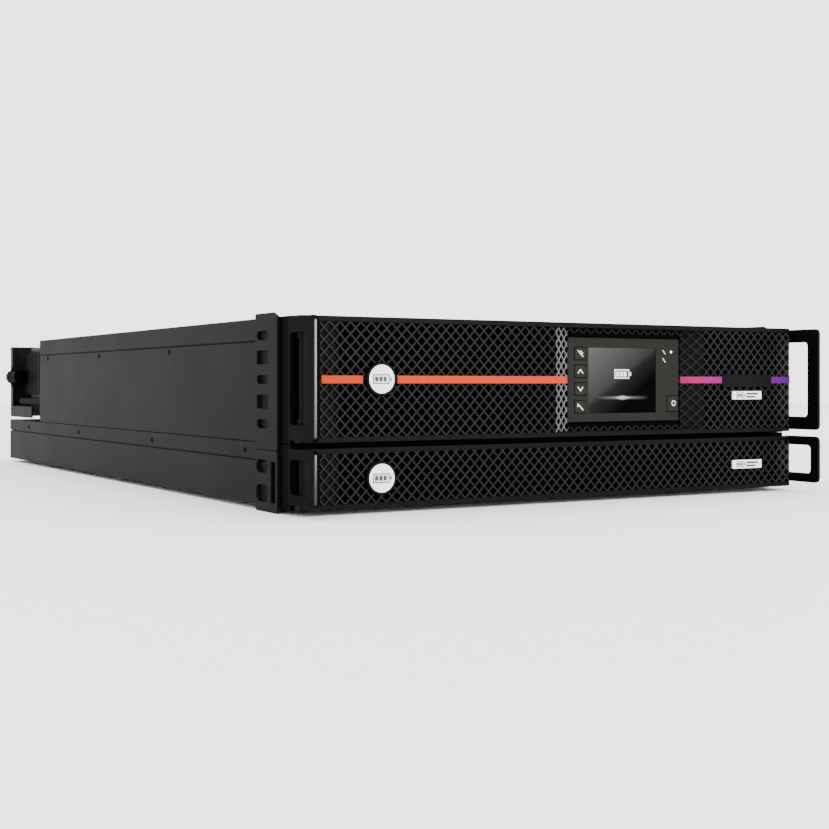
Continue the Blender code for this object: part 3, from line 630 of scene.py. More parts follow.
def wrap(piece, recessed):
    """Bend a flat piece, drawn at (along, FRONT + inward, up), on to a bezel's front."""
    count = len(piece.data.vertices)
    place = np.empty(count * 3)
    piece.data.vertices.foreach_get("co", place)
    place = place.reshape(-1, 3)
    along, inward = place[:, 0].copy(), place[:, 1] - FRONT
    over = np.clip(np.abs(along) - FLAT_HALF, 0, None)
    turn = np.minimum(over / CORNER, math.pi / 2)
    radius = CORNER - inward
    depth = recess_depth(along) if recessed else 0.0
    bent = over > 0
    place[:, 0] = np.where(bent, np.sign(along) * (FLAT_HALF + radius * np.sin(turn)), along)
    place[:, 1] = np.where(bent, FRONT + CORNER - radius * np.cos(turn), FRONT + inward + depth)
    piece.data.vertices.foreach_set("co", place.ravel())
    piece.data.update()
    return piece


def slice_at(piece, spots, axis, keep=None):
    """Cut edges into a piece across an axis; keep may be 'above' or 'below' the cut."""
    for spot in spots:
        edit(piece)
        normal = [float(letter == axis) for letter in "XYZ"]
        bpy.ops.mesh.bisect(plane_co=[value * spot for value in normal], plane_no=normal,
                            clear_inner=keep == "above", clear_outer=keep == "below")
        done()


def corner_cuts(reach=MESH_RIGHT):
    """Places along a wrapped piece that need an edge for it to turn the corner smoothly."""
    steps = 5
    return [FLAT_HALF + (reach - FLAT_HALF) * step / steps for step in range(steps)]


def wrapped_strip(name, along, inward, up, recessed):
    strip = add_block(name, (along[0], FRONT + inward[0], up[0]), (along[1], FRONT + inward[1], up[1]))
    cuts = corner_cuts()
    if recessed:
        cuts += [*RECESS_LEFT, *RECESS_RIGHT]
    slice_at(strip, [cut for cut in cuts if along[0] < cut < along[1]], "X")
    return wrap(strip, recessed)


def diamond_mesh(name, up, recessed):
    """Moulded diamond lattice: a turned grid, inset, pierced, thickened and wrapped."""
    wide, high = looks().mesh_width, looks().mesh_height
    cells = 2 * math.ceil((2 * MESH_RIGHT / wide + (up[1] - up[0]) / high) / 2)
    bpy.ops.object.select_all(action="DESELECT")
    bpy.ops.mesh.primitive_grid_add(x_subdivisions=cells, y_subdivisions=cells,
                                    size=cells / math.sqrt(2), rotation=(0, 0, math.pi / 4))
    sheet = new_piece(name)
    sheet.scale = (wide, high, 1)
    sheet.rotation_euler = TURNS["Y"]
    sheet.location = (0, FRONT, up[0] + round((up[1] - up[0]) / high) * high / 2)
    settle(sheet)
    edit(sheet)
    bpy.ops.mesh.inset(thickness=looks().strand / 2, use_individual=True, use_even_offset=True)
    bpy.ops.mesh.delete(type="FACE")
    done()
    slice_at(sheet, [MESH_LEFT], "X", "above")
    slice_at(sheet, [MESH_RIGHT], "X", "below")
    slice_at(sheet, [up[0]], "Z", "above")
    slice_at(sheet, [up[1]], "Z", "below")
    if recessed:
        slice_at(sheet, [RECESS_LEFT[1], RECESS_RIGHT[1]], "X")
        slice_at(sheet, [OPENING_FOOT, OPENING_HEAD], "Z")
        pick_faces(sheet, lambda spot, normal: RECESS_LEFT[1] < spot.x < RECESS_RIGHT[1]
                   and OPENING_FOOT < spot.z < OPENING_HEAD)
        bpy.ops.mesh.delete(type="FACE")
        done()
    modify(sheet, "SOLIDIFY", thickness=looks().mesh_depth, offset=-1.0)
    modify(sheet, "BEVEL", width=0.45 * MM, segments=1, limit_method="ANGLE",
           angle_limit=math.radians(60), use_clamp_overlap=True)
    slice_at(sheet, corner_cuts(), "X")
    if recessed:
        slice_at(sheet, [RECESS_LEFT[0], RECESS_RIGHT[0]], "X")
    return wrap(sheet, recessed)


def stroke(name, points, width, front, deep):
    """A printed or raised line in the XZ plane through points, as one joined solid."""
    made = None
    for start, end in zip(points, points[1:]):
        start, end = Vector(start), Vector(end)
        run = end - start
        bpy.ops.object.select_all(action="DESELECT")
        bpy.ops.mesh.primitive_cube_add(
            size=1, location=((start.x + end.x) / 2, front + deep / 2, (start.y + end.y) / 2),
            rotation=(0, -math.atan2(run.y, run.x), 0), scale=(run.length + width * 0.9, deep, width))
        part = new_piece(name)
        made = part if made is None else carve(made, part, operation="UNION")
    return made


def ring_plate(name, centre, outer, inner, front, deep, sides=40):
    plate = add_rod(name, (centre[0], front + deep / 2, centre[1]), outer, deep, "Y", sides)
    hole = add_rod("hole", (centre[0], front + deep / 2, centre[1]), inner, deep * 3, "Y", sides)
    return carve(plate, hole)


def frame_plate(name, low, high, width, front, deep):
    """Rectangular outline, such as a pictogram's border."""
    plate = add_block(name, (low[0], front, low[1]), (high[0], front + deep, high[1]))
    hole = add_block("hole", (low[0] + width, front - deep, low[1] + width),
                     (high[0] - width, front + 2 * deep, high[1] - width))
    return carve(plate, hole)


def battery_sign(name, centre, wide, front, deep):
    """Generic battery: outline, terminal and charge bars."""
    high = wide * 0.5
    edge = wide * 0.06
    low = (centre[0] - wide / 2, centre[1] - high / 2)
    top = (centre[0] + wide / 2, centre[1] + high / 2)
    parts = [frame_plate(name, low, top, edge, front, deep),
             add_block("terminal", (top[0] + edge * 0.5, front, centre[1] - high * 0.2),
                       (top[0] + edge * 2.2, front + deep, centre[1] + high * 0.2))]
    bars = 3
    pitch = (wide - 4 * edge) / bars
    for bar in range(bars):
        left = low[0] + 2 * edge + pitch * bar
        parts.append(add_block("bar", (left, front, low[1] + 2 * edge),
                               (left + pitch - edge * 0.8, front + deep, top[1] - 2 * edge)))
    return joined(name, parts)


# Pieces

def build_casings():
    """Casings, covers and ears in their powder coat, and the black frames behind the bezels."""
    for unit in ("ups", "battery"):
        for part, width in (("chassis", 0.5), ("top_cover", 0.6), ("ear_left", 0.35), ("ear_right", 0.35)):
            node = f"{unit}_{part}"
            refined(node, node + "_shell", "casing", "casing_paint", "casing", width * MM)
    for node in ("ups_front_frame", "battery_front_frame"):
        refined(node, node + "_shell", "casing", "frame_black", "frame", 0.5 * MM)


# Casing screws: height above the base, head radius and distances behind the bezels' fronts
SIDE_SCREWS = ((106.7 * MM, 2.1 * MM, (233, 413, 581)),
               (36.1 * MM, 2.0 * MM, (84, 273, 476, 654)))
ROOF_SCREWS = ((60, 590), (-190, 0, 190))
SCREW_PROUD = 0.35 * MM


def build_screws():
    """Countersunk screws of both casings' sides and covers."""
    heads = []
    for side in (-1, 1):
        for up, radius, places in SIDE_SCREWS:
            for behind in places:
                heads.append(screw("side_screw", (side * SIDE, FRONT + behind * MM, BASE + up),
                                   radius, ("X", side), SCREW_PROUD))
    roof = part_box("ups_top_cover")[1].z
    for behind in ROOF_SCREWS[0]:
        for across in ROOF_SCREWS[1]:
            heads.append(screw("roof_screw", (across * MM, FRONT + behind * MM, roof), 2.6 * MM,
                               ("Z", 1), SCREW_PROUD))
    piece = joined("casing_screws", heads)
    wear(soften(piece), "casing", "frame_black", "frame")


def rear_screws(name, body, rear, spots, proud=0.7 * MM):
    """Plated screws standing on a rear plane at (x, z) spots, as one piece."""
    heads = [screw("screw", (x, rear, z), 2.4 * MM, ("Y", 1), proud) for x, z in spots]
    wear(soften(joined(name, heads)), body, "frame_black", "zinc")


def build_grilles():
    """Diamond meshes, the solid plates behind parts of them, and near-black pads behind the rest as painted
    shade for the casings' dark inside.
    """
    high = (MESH_FOOT, MESH_HEAD)
    mesh = diamond_mesh("ups_mesh", high, True)
    wear(mesh, "ups_front", "grille_black", "mesh", "ups_grille")
    low = (CABINET_LOW.z + 3.2 * MM, CABINET_HIGH.z - 3.2 * MM)
    mesh = diamond_mesh("battery_mesh", low, False)
    wear(mesh, "battery_front", "grille_black", "mesh", "battery_grille")
    for name, body, along, up, recessed in (
            ("ups_backing_left", "ups_front", (MESH_LEFT, BACKING_RIGHT), high, True),
            ("ups_backing_right", "ups_front", (RECESS_RIGHT[1] + MM, RECESS_RIGHT[0]), high, True),
            ("battery_backing_left", "battery_front", (MESH_LEFT, BACKING_RIGHT), low, False)):
        plate = wrapped_strip(name, along, BACKING_INWARD, up, recessed)
        wear(soften(plate), body, "grille_black", "backing")
    left, right = BACKING_RIGHT + 0.5 * MM, 203 * MM
    for name, body, spans, up in (
            ("ups_shade_pad", "ups_front", ((left, RECESS_LEFT[0]), (RECESS_RIGHT[0], right)), high),
            ("battery_shade_pad", "battery_front", ((left, right),), low)):
        # near-black pads: painted shade for the casings' dark inside
        pads = []
        for start, end in spans:
            pad = add_block("pad", (start, FRONT + SHADE_PAD_INWARD[0], up[0] + MM),
                            (end, FRONT + SHADE_PAD_INWARD[1], up[1] - MM))
            pads.append(rounded_edges(pad, 0.8 * MM, 2))
        wear(soften(joined(name, pads)), body, "grille_black", "foam")


def build_bezels():
    """Bezels with a shallow seat for the mesh cut into their front, round to the right corner."""
    for node, body, low, high in (
            ("ups_bezel", "ups_front", MESH_FOOT - 0.1 * MM, MESH_HEAD + 0.1 * MM),
            ("battery_bezel", "battery_front", CABINET_LOW.z + 3.1 * MM, CABINET_HIGH.z - 3.1 * MM)):
        piece = copy_of(node, node + "_shell")
        reach = MESH_RIGHT + 0.1 * MM
        band = add_block("band", (MESH_LEFT - 0.1 * MM, FRONT - 2 * MM, low),
                         (reach, FRONT + 1.55 * MM, high))
        slice_at(band, corner_cuts(reach), "X")
        wrap(band, False)
        carve(piece, band)
        rounded_edges(piece, 0.45 * MM, 2)
        wear(soften(piece), body, "bezel_plastic", "bezel", node)


def build_handles():
    for unit in ("ups", "battery"):
        for side in ("left", "right"):
            node = f"{unit}_handle_{side}"
            refined(node, node + "_bar", "casing", "handle_black", "handle", 0.7 * MM, 3)


def build_stripes():
    """Orange stripe with a gap round the badge, magenta to purple stripe, and blank name plate."""
    up = (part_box("stripe_left")[0].z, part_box("stripe_left")[1].z)
    proud = (-0.35 * MM, 0.9 * MM)
    left = wrapped_strip("stripe_orange", (-203.1 * MM, RECESS_LEFT[1] - 0.3 * MM), proud, up, True)
    carve(left, add_rod("gap", (BADGE_X, FRONT, (up[0] + up[1]) / 2), BADGE_GAP, 6 * MM, "Y", 64))
    rounded_edges(left, 0.2 * MM, 1, 50)
    wear(soften(left), "ups_front", "stripe_orange", "orange", "stripe_left")
    right = wrapped_strip("stripe_purple", (RECESS_RIGHT[1] + 0.3 * MM, MESH_RIGHT), proud, up, True)
    rounded_edges(right, 0.2 * MM, 1, 50)
    wear(soften(right), "ups_front", "stripe_magenta", "magenta", "stripe_right")
    low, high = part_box("name_plate")
    plate = add_block("blank_name_plate", (low.x, FRONT - 0.9 * MM, low.z),
                      (high.x, FRONT + 0.5 * MM, high.z))
    rounded_edges(plate, 0.35 * MM, 2)
    wear(soften(plate), "ups_front", "grille_black", "bezel", "name_plate")


def build_badges():
    """Round white badges on black bosses, each with a generic battery sign."""
    for node, body in (("ups_badge", "ups_front"), ("battery_badge", "battery_front")):
        low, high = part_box(node)
        up = (low.z + high.z) / 2
        front = low.y
        boss_front, boss_rear = front + 0.3 * MM, FRONT + MM
        boss = add_rod(node + "_boss", (BADGE_X, (boss_front + boss_rear) / 2, up), BADGE_BOSS,
                       boss_rear - boss_front, "Y", 64)
        rounded_edges(boss, 0.5 * MM, 3)
        wear(soften(boss), body, "grille_black", "bezel")
        disc = add_rod(node + "_disc", (BADGE_X, front + 0.4 * MM, up), BADGE_DISC, 0.7 * MM, "Y", 64)
        rounded_edges(disc, 0.2 * MM, 2)
        wear(soften(disc), body, "badge_white", "white", node)
        sign = battery_sign(node + "_sign", (BADGE_X - 0.6 * MM, up), 12.5 * MM, front - 0.03 * MM,
                            0.3 * MM)
        wear(sign, body, "frame_black", "ink")


def build_labels():
    """White stickers with a plain battery sign and two printed lines."""
    for name, body, low, high in (
            ("ups_label", "ups_front", BASE + 69.6 * MM, BASE + 76.0 * MM),
            ("battery_label", "battery_front", BASE + 15.5 * MM, BASE + 22.2 * MM)):
        left, right = 154 * MM, 184.9 * MM
        plate = add_block(name, (left, FRONT - 0.75 * MM, low), (right, FRONT + 0.4 * MM, high))
        rounded_edges(plate, 0.3 * MM, 2)
        wear(soften(plate), body, "badge_white", "white")
        middle = (low + high) / 2
        front, deep = FRONT - 0.8 * MM, 0.2 * MM
        signs = [battery_sign(name + "_print", (left + 8 * MM, middle), 8.5 * MM, front, deep)]
        start, half = left + 14.5 * MM, 0.7 * MM
        for row, reach in ((middle + 1.2 * MM, 12.5 * MM), (middle - 1.2 * MM, 9.5 * MM)):
            signs.append(add_block("line", (start, front, row - half),
                                   (start + reach, front + deep, row + half)))
        wear(joined(name + "_print", signs), body, "frame_black", "ink")


KEY_BODIES = {"button_escape": "escape_key", "button_up": "up_key", "button_down": "down_key",
              "button_enter": "enter_key", "power_button": "power_key"}
KEY_STROKES = {                         # lines of the keys' signs, in mm from a key's middle
    "button_up": [[(-2.1, -1.26), (0, 1.26), (2.1, -1.26)]],
    "button_down": [[(-2.1, 1.26), (0, -1.26), (2.1, 1.26)]],
    "button_escape": [[(-2.2, 2.0), (2.2, -2.0)], [(0.2, 1.8), (1.9, 0.2)]],
    "button_enter": [[(-2.4, 2.0), (2.2, -2.2)], [(-2.5, 0.3), (-2.5, 2.2)]],
}
LAMP_RADIUS = 1.0 * MM
MARK_X = 93.2 * MM
MARK_BOLT = ((-1.3, 1.4), (0, 0.2), (-0.3, 0), (1.2, -1.5))     # corners of a lightning stroke, in mm


def build_display():
    """Display housing with its key holes, the glass and its signs, and the status lamp."""
    case = add_block("display_case", DISPLAY_LOW, DISPLAY_HIGH)
    rounded_edges(case, 1.1 * MM, 3)
    grow = Vector((0.35, 0, 0.35)) * MM
    reach = Vector((0, 1, 0)) * (DISPLAY_HIGH.y - DISPLAY_LOW.y)
    for node in KEY_BODIES:
        low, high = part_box(node)
        carve(case, add_block("key_hole", low - grow - reach, high + grow + reach))
    carve(case, add_block("glass_pocket", SCREEN_LOW - grow * 0.3 - reach, SCREEN_HIGH + grow * 0.3))
    rounded_edges(case, 0.25 * MM, 2)
    wear(soften(case), "casing", "display_plastic", "display", "display_housing")
    glass = add_block("display_glass", SCREEN_LOW, SCREEN_HIGH)
    rounded_edges(glass, 0.25 * MM, 2)
    wear(soften(glass), "casing", "screen_glass", "screen", "display_screen")
    middle = ((SCREEN_LOW.x + SCREEN_HIGH.x) / 2, SCREEN_LOW.z + 0.6 * (SCREEN_HIGH.z - SCREEN_LOW.z))
    sign = battery_sign("screen_battery", (middle[0] - 0.6 * MM, middle[1]), 14 * MM,
                        SCREEN_LOW.y - 0.02 * MM, 0.1 * MM)
    wear(sign, "casing", "led_white", "icon")
    low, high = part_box("status_led")
    lamp = add_rod("status_lens", ((low + high) / 2).to_tuple(), LAMP_RADIUS, high.y - low.y, "Y", 24)
    rounded_edges(lamp, 0.25 * MM, 3)
    wear(soften(lamp), "casing", "led_white", "lamp", "status_led")
    front = DISPLAY_LOW.y - 0.04 * MM
    marks = []
    for up in (BASE + 106 * MM, BASE + 99.8 * MM):
        bolt = [(MARK_X + across * MM, up + rise * MM) for across, rise in MARK_BOLT]
        marks.append(stroke("mark", bolt, 0.5 * MM, front, 0.2 * MM))
    wear(joined("status_marks", marks), "casing", "led_white", "icon")


def build_keys():
    """Keycaps with a raised rim line and a printed sign each."""
    for node, body in KEY_BODIES.items():
        low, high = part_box(node)
        cap = add_block(node + "_cap", low, high)
        rounded_edges(cap, 0.7 * MM, 3)
        pick_faces(cap, lambda spot, normal: normal.y < -0.9)
        bpy.ops.mesh.inset(thickness=0.5 * MM, depth=-0.12 * MM)
        done()
        wear(soften(cap), body, "button_plastic", "key", node)
        x, z = (low.x + high.x) / 2, (low.z + high.z) / 2
        front, deep, thin = low.y + 0.07 * MM, 0.12 * MM, 0.75 * MM
        if node in KEY_STROKES:
            sign = joined("sign", [
                stroke("line", [(x + across * MM, z + up * MM) for across, up in line], thin, front, deep)
                for line in KEY_STROKES[node]])
        else:
            sign = ring_plate("sign", (x + 0.8 * MM, z + 0.4 * MM), 2.1 * MM, 1.45 * MM, front, deep)
        sign.name = node + "_sign"
        wear(sign, body, "led_white", "icon")


def fan_guard(name, centre, rear):
    """Wire guard: rings on two crossed spokes."""
    wire = 0.8 * MM
    parts = []
    for ring in (8, 14.5, 21, 27.5):
        bpy.ops.object.select_all(action="DESELECT")
        bpy.ops.mesh.primitive_torus_add(location=(centre[0], rear + wire, centre[1]), rotation=TURNS["Y"],
                                         major_radius=ring * MM, minor_radius=wire, major_segments=48,
                                         minor_segments=8)
        parts.append(new_piece("ring"))
    for turn in (45, 135):
        bpy.ops.object.select_all(action="DESELECT")
        bpy.ops.mesh.primitive_cylinder_add(vertices=8, radius=wire, depth=70 * MM,
                                            location=(centre[0], rear + 2.2 * wire, centre[1]),
                                            rotation=(0, math.radians(turn), 0))
        parts.append(new_piece("spoke"))
    return joined(name, parts)


def build_fans():
    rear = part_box("ups_rear_panel")[1].y
    for number in ("1", "2"):
        refined("fan_housing_" + number, "fan_case_" + number, "casing", "black_plastic", "black", 0.4 * MM)
        refined("fan_rotor_" + number, "fan_blades_" + number, "fan_" + number, "black_plastic", "black",
                0.25 * MM)
        low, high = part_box("fan_housing_" + number)
        middle = ((low.x + high.x) / 2, (low.z + high.z) / 2)
        guard = fan_guard("fan_guard_" + number, middle, rear)
        wear(soften(guard), "casing", "bare_aluminium", "zinc")
        rear_screws("fan_screws_" + number, "casing", rear, [
            (middle[0] + x * 25 * MM, middle[1] + z * 25 * MM) for x in (-1, 1) for z in (-1, 1)],
            0.9 * MM)


def contacts(name, centre, front, size, pitch):
    """Three flat contact blades standing in a socket."""
    blades = []
    for step in (-1, 0, 1):
        middle = centre[0] + step * pitch
        blade = add_block("blade", (middle - size[0] / 2, front, centre[1] - size[2] / 2),
                          (middle + size[0] / 2, front + size[1], centre[1] + size[2] / 2))
        blades.append(rounded_edges(blade, 0.25 * MM, 1))
    return joined(name, blades)


def build_sockets():
    for node in ("ups_battery_socket", "battery_socket"):
        refined(node, node + "_body", "casing", "black_plastic", "black", 0.6 * MM, 3)
        low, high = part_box(node)
        blades = contacts(node + "_blades", ((low.x + high.x) / 2, (low.z + high.z) / 2),
                          high.y - 10.5 * MM, (2.2 * MM, 7 * MM, 9 * MM), 9 * MM)
        wear(soften(blades), "casing", "bare_aluminium", "brass")


def build_breakers():
    for node, body, toggle in (("input_breaker", "distribution", "input_toggle"),
                               ("battery_breaker", "casing", "battery_toggle")):
        refined(node, node + "_body", body, "black_plastic", "black", 0.5 * MM)
        refined(node + "_lever", node + "_toggle", toggle, "badge_white", "white", 0.5 * MM, 3)


def build_network_card():
    refined("network_card", "card_board", "casing", "circuit_board", "board", 0.2 * MM)
    low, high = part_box("network_card")
    rear = high.y
    plate = add_block("card_bracket", (low.x - 2 * MM, rear + TINY, low.z - MM),
                      (high.x + 2 * MM, rear + MM, high.z + MM))
    carve(plate, add_block("port", (158 * MM, rear - MM, BASE + 95 * MM),
                           (172 * MM, rear + 3 * MM, BASE + 106 * MM)))
    for slot in range(6):
        left = (179 + 3.6 * slot) * MM
        carve(plate, add_block("vent", (left, rear - MM, BASE + 94 * MM),
                               (left + 1.6 * MM, rear + 3 * MM, BASE + 108 * MM)))
    rounded_edges(plate, 0.25 * MM, 1)
    wear(soften(plate), "casing", "bare_aluminium", "aluminium")
    knobs = []
    for across in (low.x + 3 * MM, high.x - 3 * MM):
        knob = add_rod("knob", (across, rear + 3.5 * MM, BASE + 113 * MM), 3 * MM, 5 * MM, "Y", 28)
        pick_faces(knob, lambda spot, normal: abs(normal.y) < 0.5)
        bpy.ops.mesh.inset(thickness=0.12 * MM, depth=-0.25 * MM, use_individual=True)
        done()
        knobs.append(knob)
    wear(soften(joined("card_thumbscrews", knobs)), "casing", "bare_aluminium", "zinc")


def build_rear_panels():
    refined("ups_rear_panel", "ups_rear_sheet", "casing", "casing_paint", "casing", 0.25 * MM, 1)
    piece = copy_of("battery_rear_panel", "battery_rear_sheet")
    low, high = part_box("battery_rear_panel")
    for slot in range(24):
        left = (-120 + 10 * slot) * MM
        carve(piece, add_block("vent", (left, low.y - MM, BASE + 12 * MM),
                               (left + 4 * MM, high.y + MM, BASE + 31 * MM)))
    rounded_edges(piece, 0.3 * MM, 1)
    wear(soften(piece), "casing", "casing_paint", "casing", "battery_rear_panel")
    rear_screws("battery_rear_screws", "casing", high.y, [
        (across * MM, BASE + up * MM) for across in (-212, 212) for up in (10, 32)])


def outlet_pit(name, centre, rear):
    """Cutter for one appliance outlet: a moat round a core, and three slots in the core."""
    x, z = centre
    moat = add_block(name, (x - 13.5 * MM, rear - 11 * MM, z - 9 * MM),
                     (x + 13.5 * MM, rear + MM, z + 9 * MM))
    core = add_block("core", (x - 10.5 * MM, rear - 13 * MM, z - 6 * MM),
                     (x + 10.5 * MM, rear - MM, z + 6 * MM))
    carve(moat, core)
    for across, up in ((-6, -1.5), (6, -1.5), (0, 2.0)):
        slot = add_block("slot", (x + (across - 0.9) * MM, rear - 9 * MM, z + (up - 2.4) * MM),
                         (x + (across + 0.9) * MM, rear + 0.9 * MM, z + (up + 2.4) * MM))
        carve(moat, slot, operation="UNION")
    return moat


def ribbed(piece, ribs, first, pitch, wide, across, up):
    """Weld upright ribs on to a piece: how many, where along Y, and their spans across and up."""
    for rib in range(ribs):
        start = first + pitch * rib
        carve(piece, add_block("rib", (across[0], start, up[0]), (across[1], start + wide, up[1])),
              operation="UNION")
    return piece


def build_distribution():
    """Distribution box with its ribs, cheek, rail, end plate and outlets."""
    body = "distribution"
    case = copy_of("distribution_box", "distribution_case")
    low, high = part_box("distribution_box")
    foot = BASE + 70 * MM
    ribbed(case, 16, low.y + 10 * MM, 5.4 * MM, 1.8 * MM, (low.x - 1.4 * MM, low.x + 0.6 * MM),
           (foot, high.z - 4 * MM))
    rounded_edges(case, 0.5 * MM, 2)
    cheek = add_block("distribution_cheek", (low.x - 0.9 * MM, high.y - 8 * MM, foot),
                      (low.x - 0.1 * MM, high.y + 20 * MM, high.z - 6 * MM))
    ribbed(cheek, 6, high.y - 7 * MM, 4.4 * MM, 2.2 * MM, (low.x - 1.6 * MM, low.x - 0.5 * MM),
           (foot + 2 * MM, high.z - 8 * MM))
    rounded_edges(cheek, 0.2 * MM, 1)
    wear(soften(cheek), body, "black_plastic", "black")
    wear(soften(case), body, "black_plastic", "black", "distribution_box")
    rail = add_block("distribution_rail", (-219.4 * MM, low.y + MM, BASE + 59.5 * MM),
                     (low.x + 0.3 * MM, high.y - 8 * MM, BASE + 66.5 * MM))
    rounded_edges(rail, 2.6 * MM, 5)
    wear(soften(rail), body, "black_plastic", "frame")
    refined("distribution_plate", "distribution_end_plate", body, "casing_paint", "casing", 0.35 * MM)
    block = copy_of("outlet_block", "outlet_row")
    low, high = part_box("outlet_block")
    for column in range(3):
        for row in range(2):
            carve(block, outlet_pit("pit", (low.x + (15 + 30 * column) * MM, low.z + (15.5 + 29 * row) * MM),
                                    high.y))
    rounded_edges(block, 0.35 * MM, 1)
    wear(soften(block), body, "black_plastic", "black", "outlet_block")
    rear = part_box("distribution_plate")[1].y
    rear_screws("distribution_screws", body, rear, [
        (across * MM, BASE + up * MM) for across in (-214, -150, 6) for up in (51, 117)])


GLAND_DOME = 8.2 * MM                   # radii of the cable gland's parts
GLAND_HEX = 8.9 * MM
GLAND_SLEEVE = 8.3 * MM
GLAND_THREAD = 5.4 * MM
GLAND_BORE = 3.9 * MM


def build_gland():
    """Turned cable gland: hexagonal flange and ribbed dome behind the plate, nut and sleeve before it."""
    low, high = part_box("cable_gland")
    x, z = (low.x + high.x) / 2, (low.z + high.z) / 2

    def turned(name, front, rear, radius, sides, edge):
        part = add_rod(name, (x, (front + rear) / 2, z), radius, rear - front, "Y", sides)
        return rounded_edges(part, *edge) if edge else part

    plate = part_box("distribution_plate")[1].y
    behind = plate + TINY
    nut = plate - 21 * MM
    dome = turned("dome", behind + 3 * MM, high.y, GLAND_DOME, 48, (1.6 * MM, 4))
    for flute in range(12):
        turn = math.radians(30 * flute)
        carve(dome, add_rod("flute", (x + GLAND_HEX * math.cos(turn), high.y - 5 * MM,
                                      z + GLAND_HEX * math.sin(turn)), 1.3 * MM, 12 * MM, "Y", 12))
    thread = turned("thread", low.y, behind + MM, GLAND_THREAD, 32, None)
    carve(dome, turned("bore", high.y - 5 * MM, high.y + MM, GLAND_BORE, 32, None))
    carve(thread, turned("bore", low.y - MM, low.y + 3 * MM, GLAND_BORE, 32, None))
    body = joined("cable_gland_body", [
        turned("flange", behind, behind + 4 * MM, GLAND_HEX, 6, (0.4 * MM, 2)), dome, thread,
        turned("nut", nut, nut + 8 * MM, GLAND_HEX, 6, (0.5 * MM, 2)),
        turned("sleeve", nut + 7.5 * MM, nut + 18.5 * MM, GLAND_SLEEVE, 40, (0.5 * MM, 2))])
    wear(soften(body), "distribution", "black_plastic", "frame", "cable_gland")


def build_feet():
    for number in range(1, 5):
        node = f"foot_{number}"
        refined(node, node + "_pad", "casing", "rubber", "rubber", 0.8 * MM, 3)


def build_inside():
    """Parts seen only with the covers off keep their frame shape."""
    for node, paint in (("main_board", "board"), ("battery_management_board", "board"),
                        ("heatsink", "aluminium"), ("transformer", "coil"), ("capacitor_bank", "wrap"),
                        ("ups_battery_pack", "wrap"), ("battery_pack_1", "wrap"),
                        ("battery_pack_2", "wrap")):
        repaint(node, paint)


# Stage

def aim(piece, target):
    piece.rotation_euler = (Vector(target) - piece.location).to_track_quat("-Z", "Y").to_euler()


def add_light(name, place, target, size, power):
    bpy.ops.object.light_add(type="AREA", location=place)
    lamp = bpy.context.active_object
    lamp.name = name
    lamp.data.shape = "RECTANGLE"
    lamp.data.size, lamp.data.size_y = size
    lamp.data.energy = power
    aim(lamp, target)


def build_floor():
    bpy.ops.object.select_all(action="DESELECT")
    bpy.ops.mesh.primitive_plane_add(size=looks().floor_size)
    floor = new_piece("studio_floor")
    paint = Paint("pale_floor", 0.75)
    drift = paint.noise(0.7, 2.0)
    paint.set("Base Color", paint.mix(drift, (0.80, 0.80, 0.80), (0.84, 0.84, 0.84)))
    floor.data.materials.append(paint.material)


def build_surround():
    world = bpy.data.worlds.new("studio_surround")
    world.use_nodes = True
    background = world.node_tree.nodes["Background"]
    background.inputs["Color"].default_value = (1.0, 1.0, 1.0, 1)
    background.inputs["Strength"].default_value = looks().surround
    bpy.context.scene.world = world


def build_camera():
    """Level camera in front of the left corner, a little below the roof."""
    bpy.ops.object.camera_add(location=CAMERA_PLACE)
    camera = bpy.context.active_object
    camera.name = "front_left_camera"
    camera.rotation_euler = (math.pi / 2, 0, -CAMERA_TURN)
    camera.data.lens = CAMERA_LENS
    camera.data.sensor_width = 36
    camera.data.shift_y = CAMERA_SHIFT
    camera.data.clip_start = 0.05
    camera.data.dof.use_dof = False
    bpy.context.scene.camera = camera


# Lights: name, place, what it is aimed at, width and height, and watts
LIGHTS = (("key_softbox", (-1.6, -1.8, 2.4), (0, 0, 0.06), (1.6, 1.2), 26),
          ("fill_softbox", (1.8, -2.2, 1.2), (0, -0.3, 0.06), (1.4, 1.4), 10),
          ("side_softbox", (-2.6, 0.6, 1.0), (-0.2, 0, 0.06), (1.6, 1.2), 7),
          ("edge_strip", (0.78, -2.4, 0.1), (-0.22, -0.385, 0.06), (0.35, 0.8), 30),
          ("right_softbox", (3.0, -0.15, 0.35), (0, -0.36, 0.08), (1.2, 1.0), 50))
CAMERA_PLACE = (-0.594, -1.1393, 0.086)
CAMERA_TURN = math.atan2(0.509, 0.861)  # round to the left from straight ahead
CAMERA_LENS = 58.56
CAMERA_SHIFT = -0.038


def build_stage():
    build_floor()
    build_surround()
    for name, place, target, size, watts in LIGHTS:
        add_light(name, place, target, size, watts * looks().light_power)
    build_camera()


# Add-on

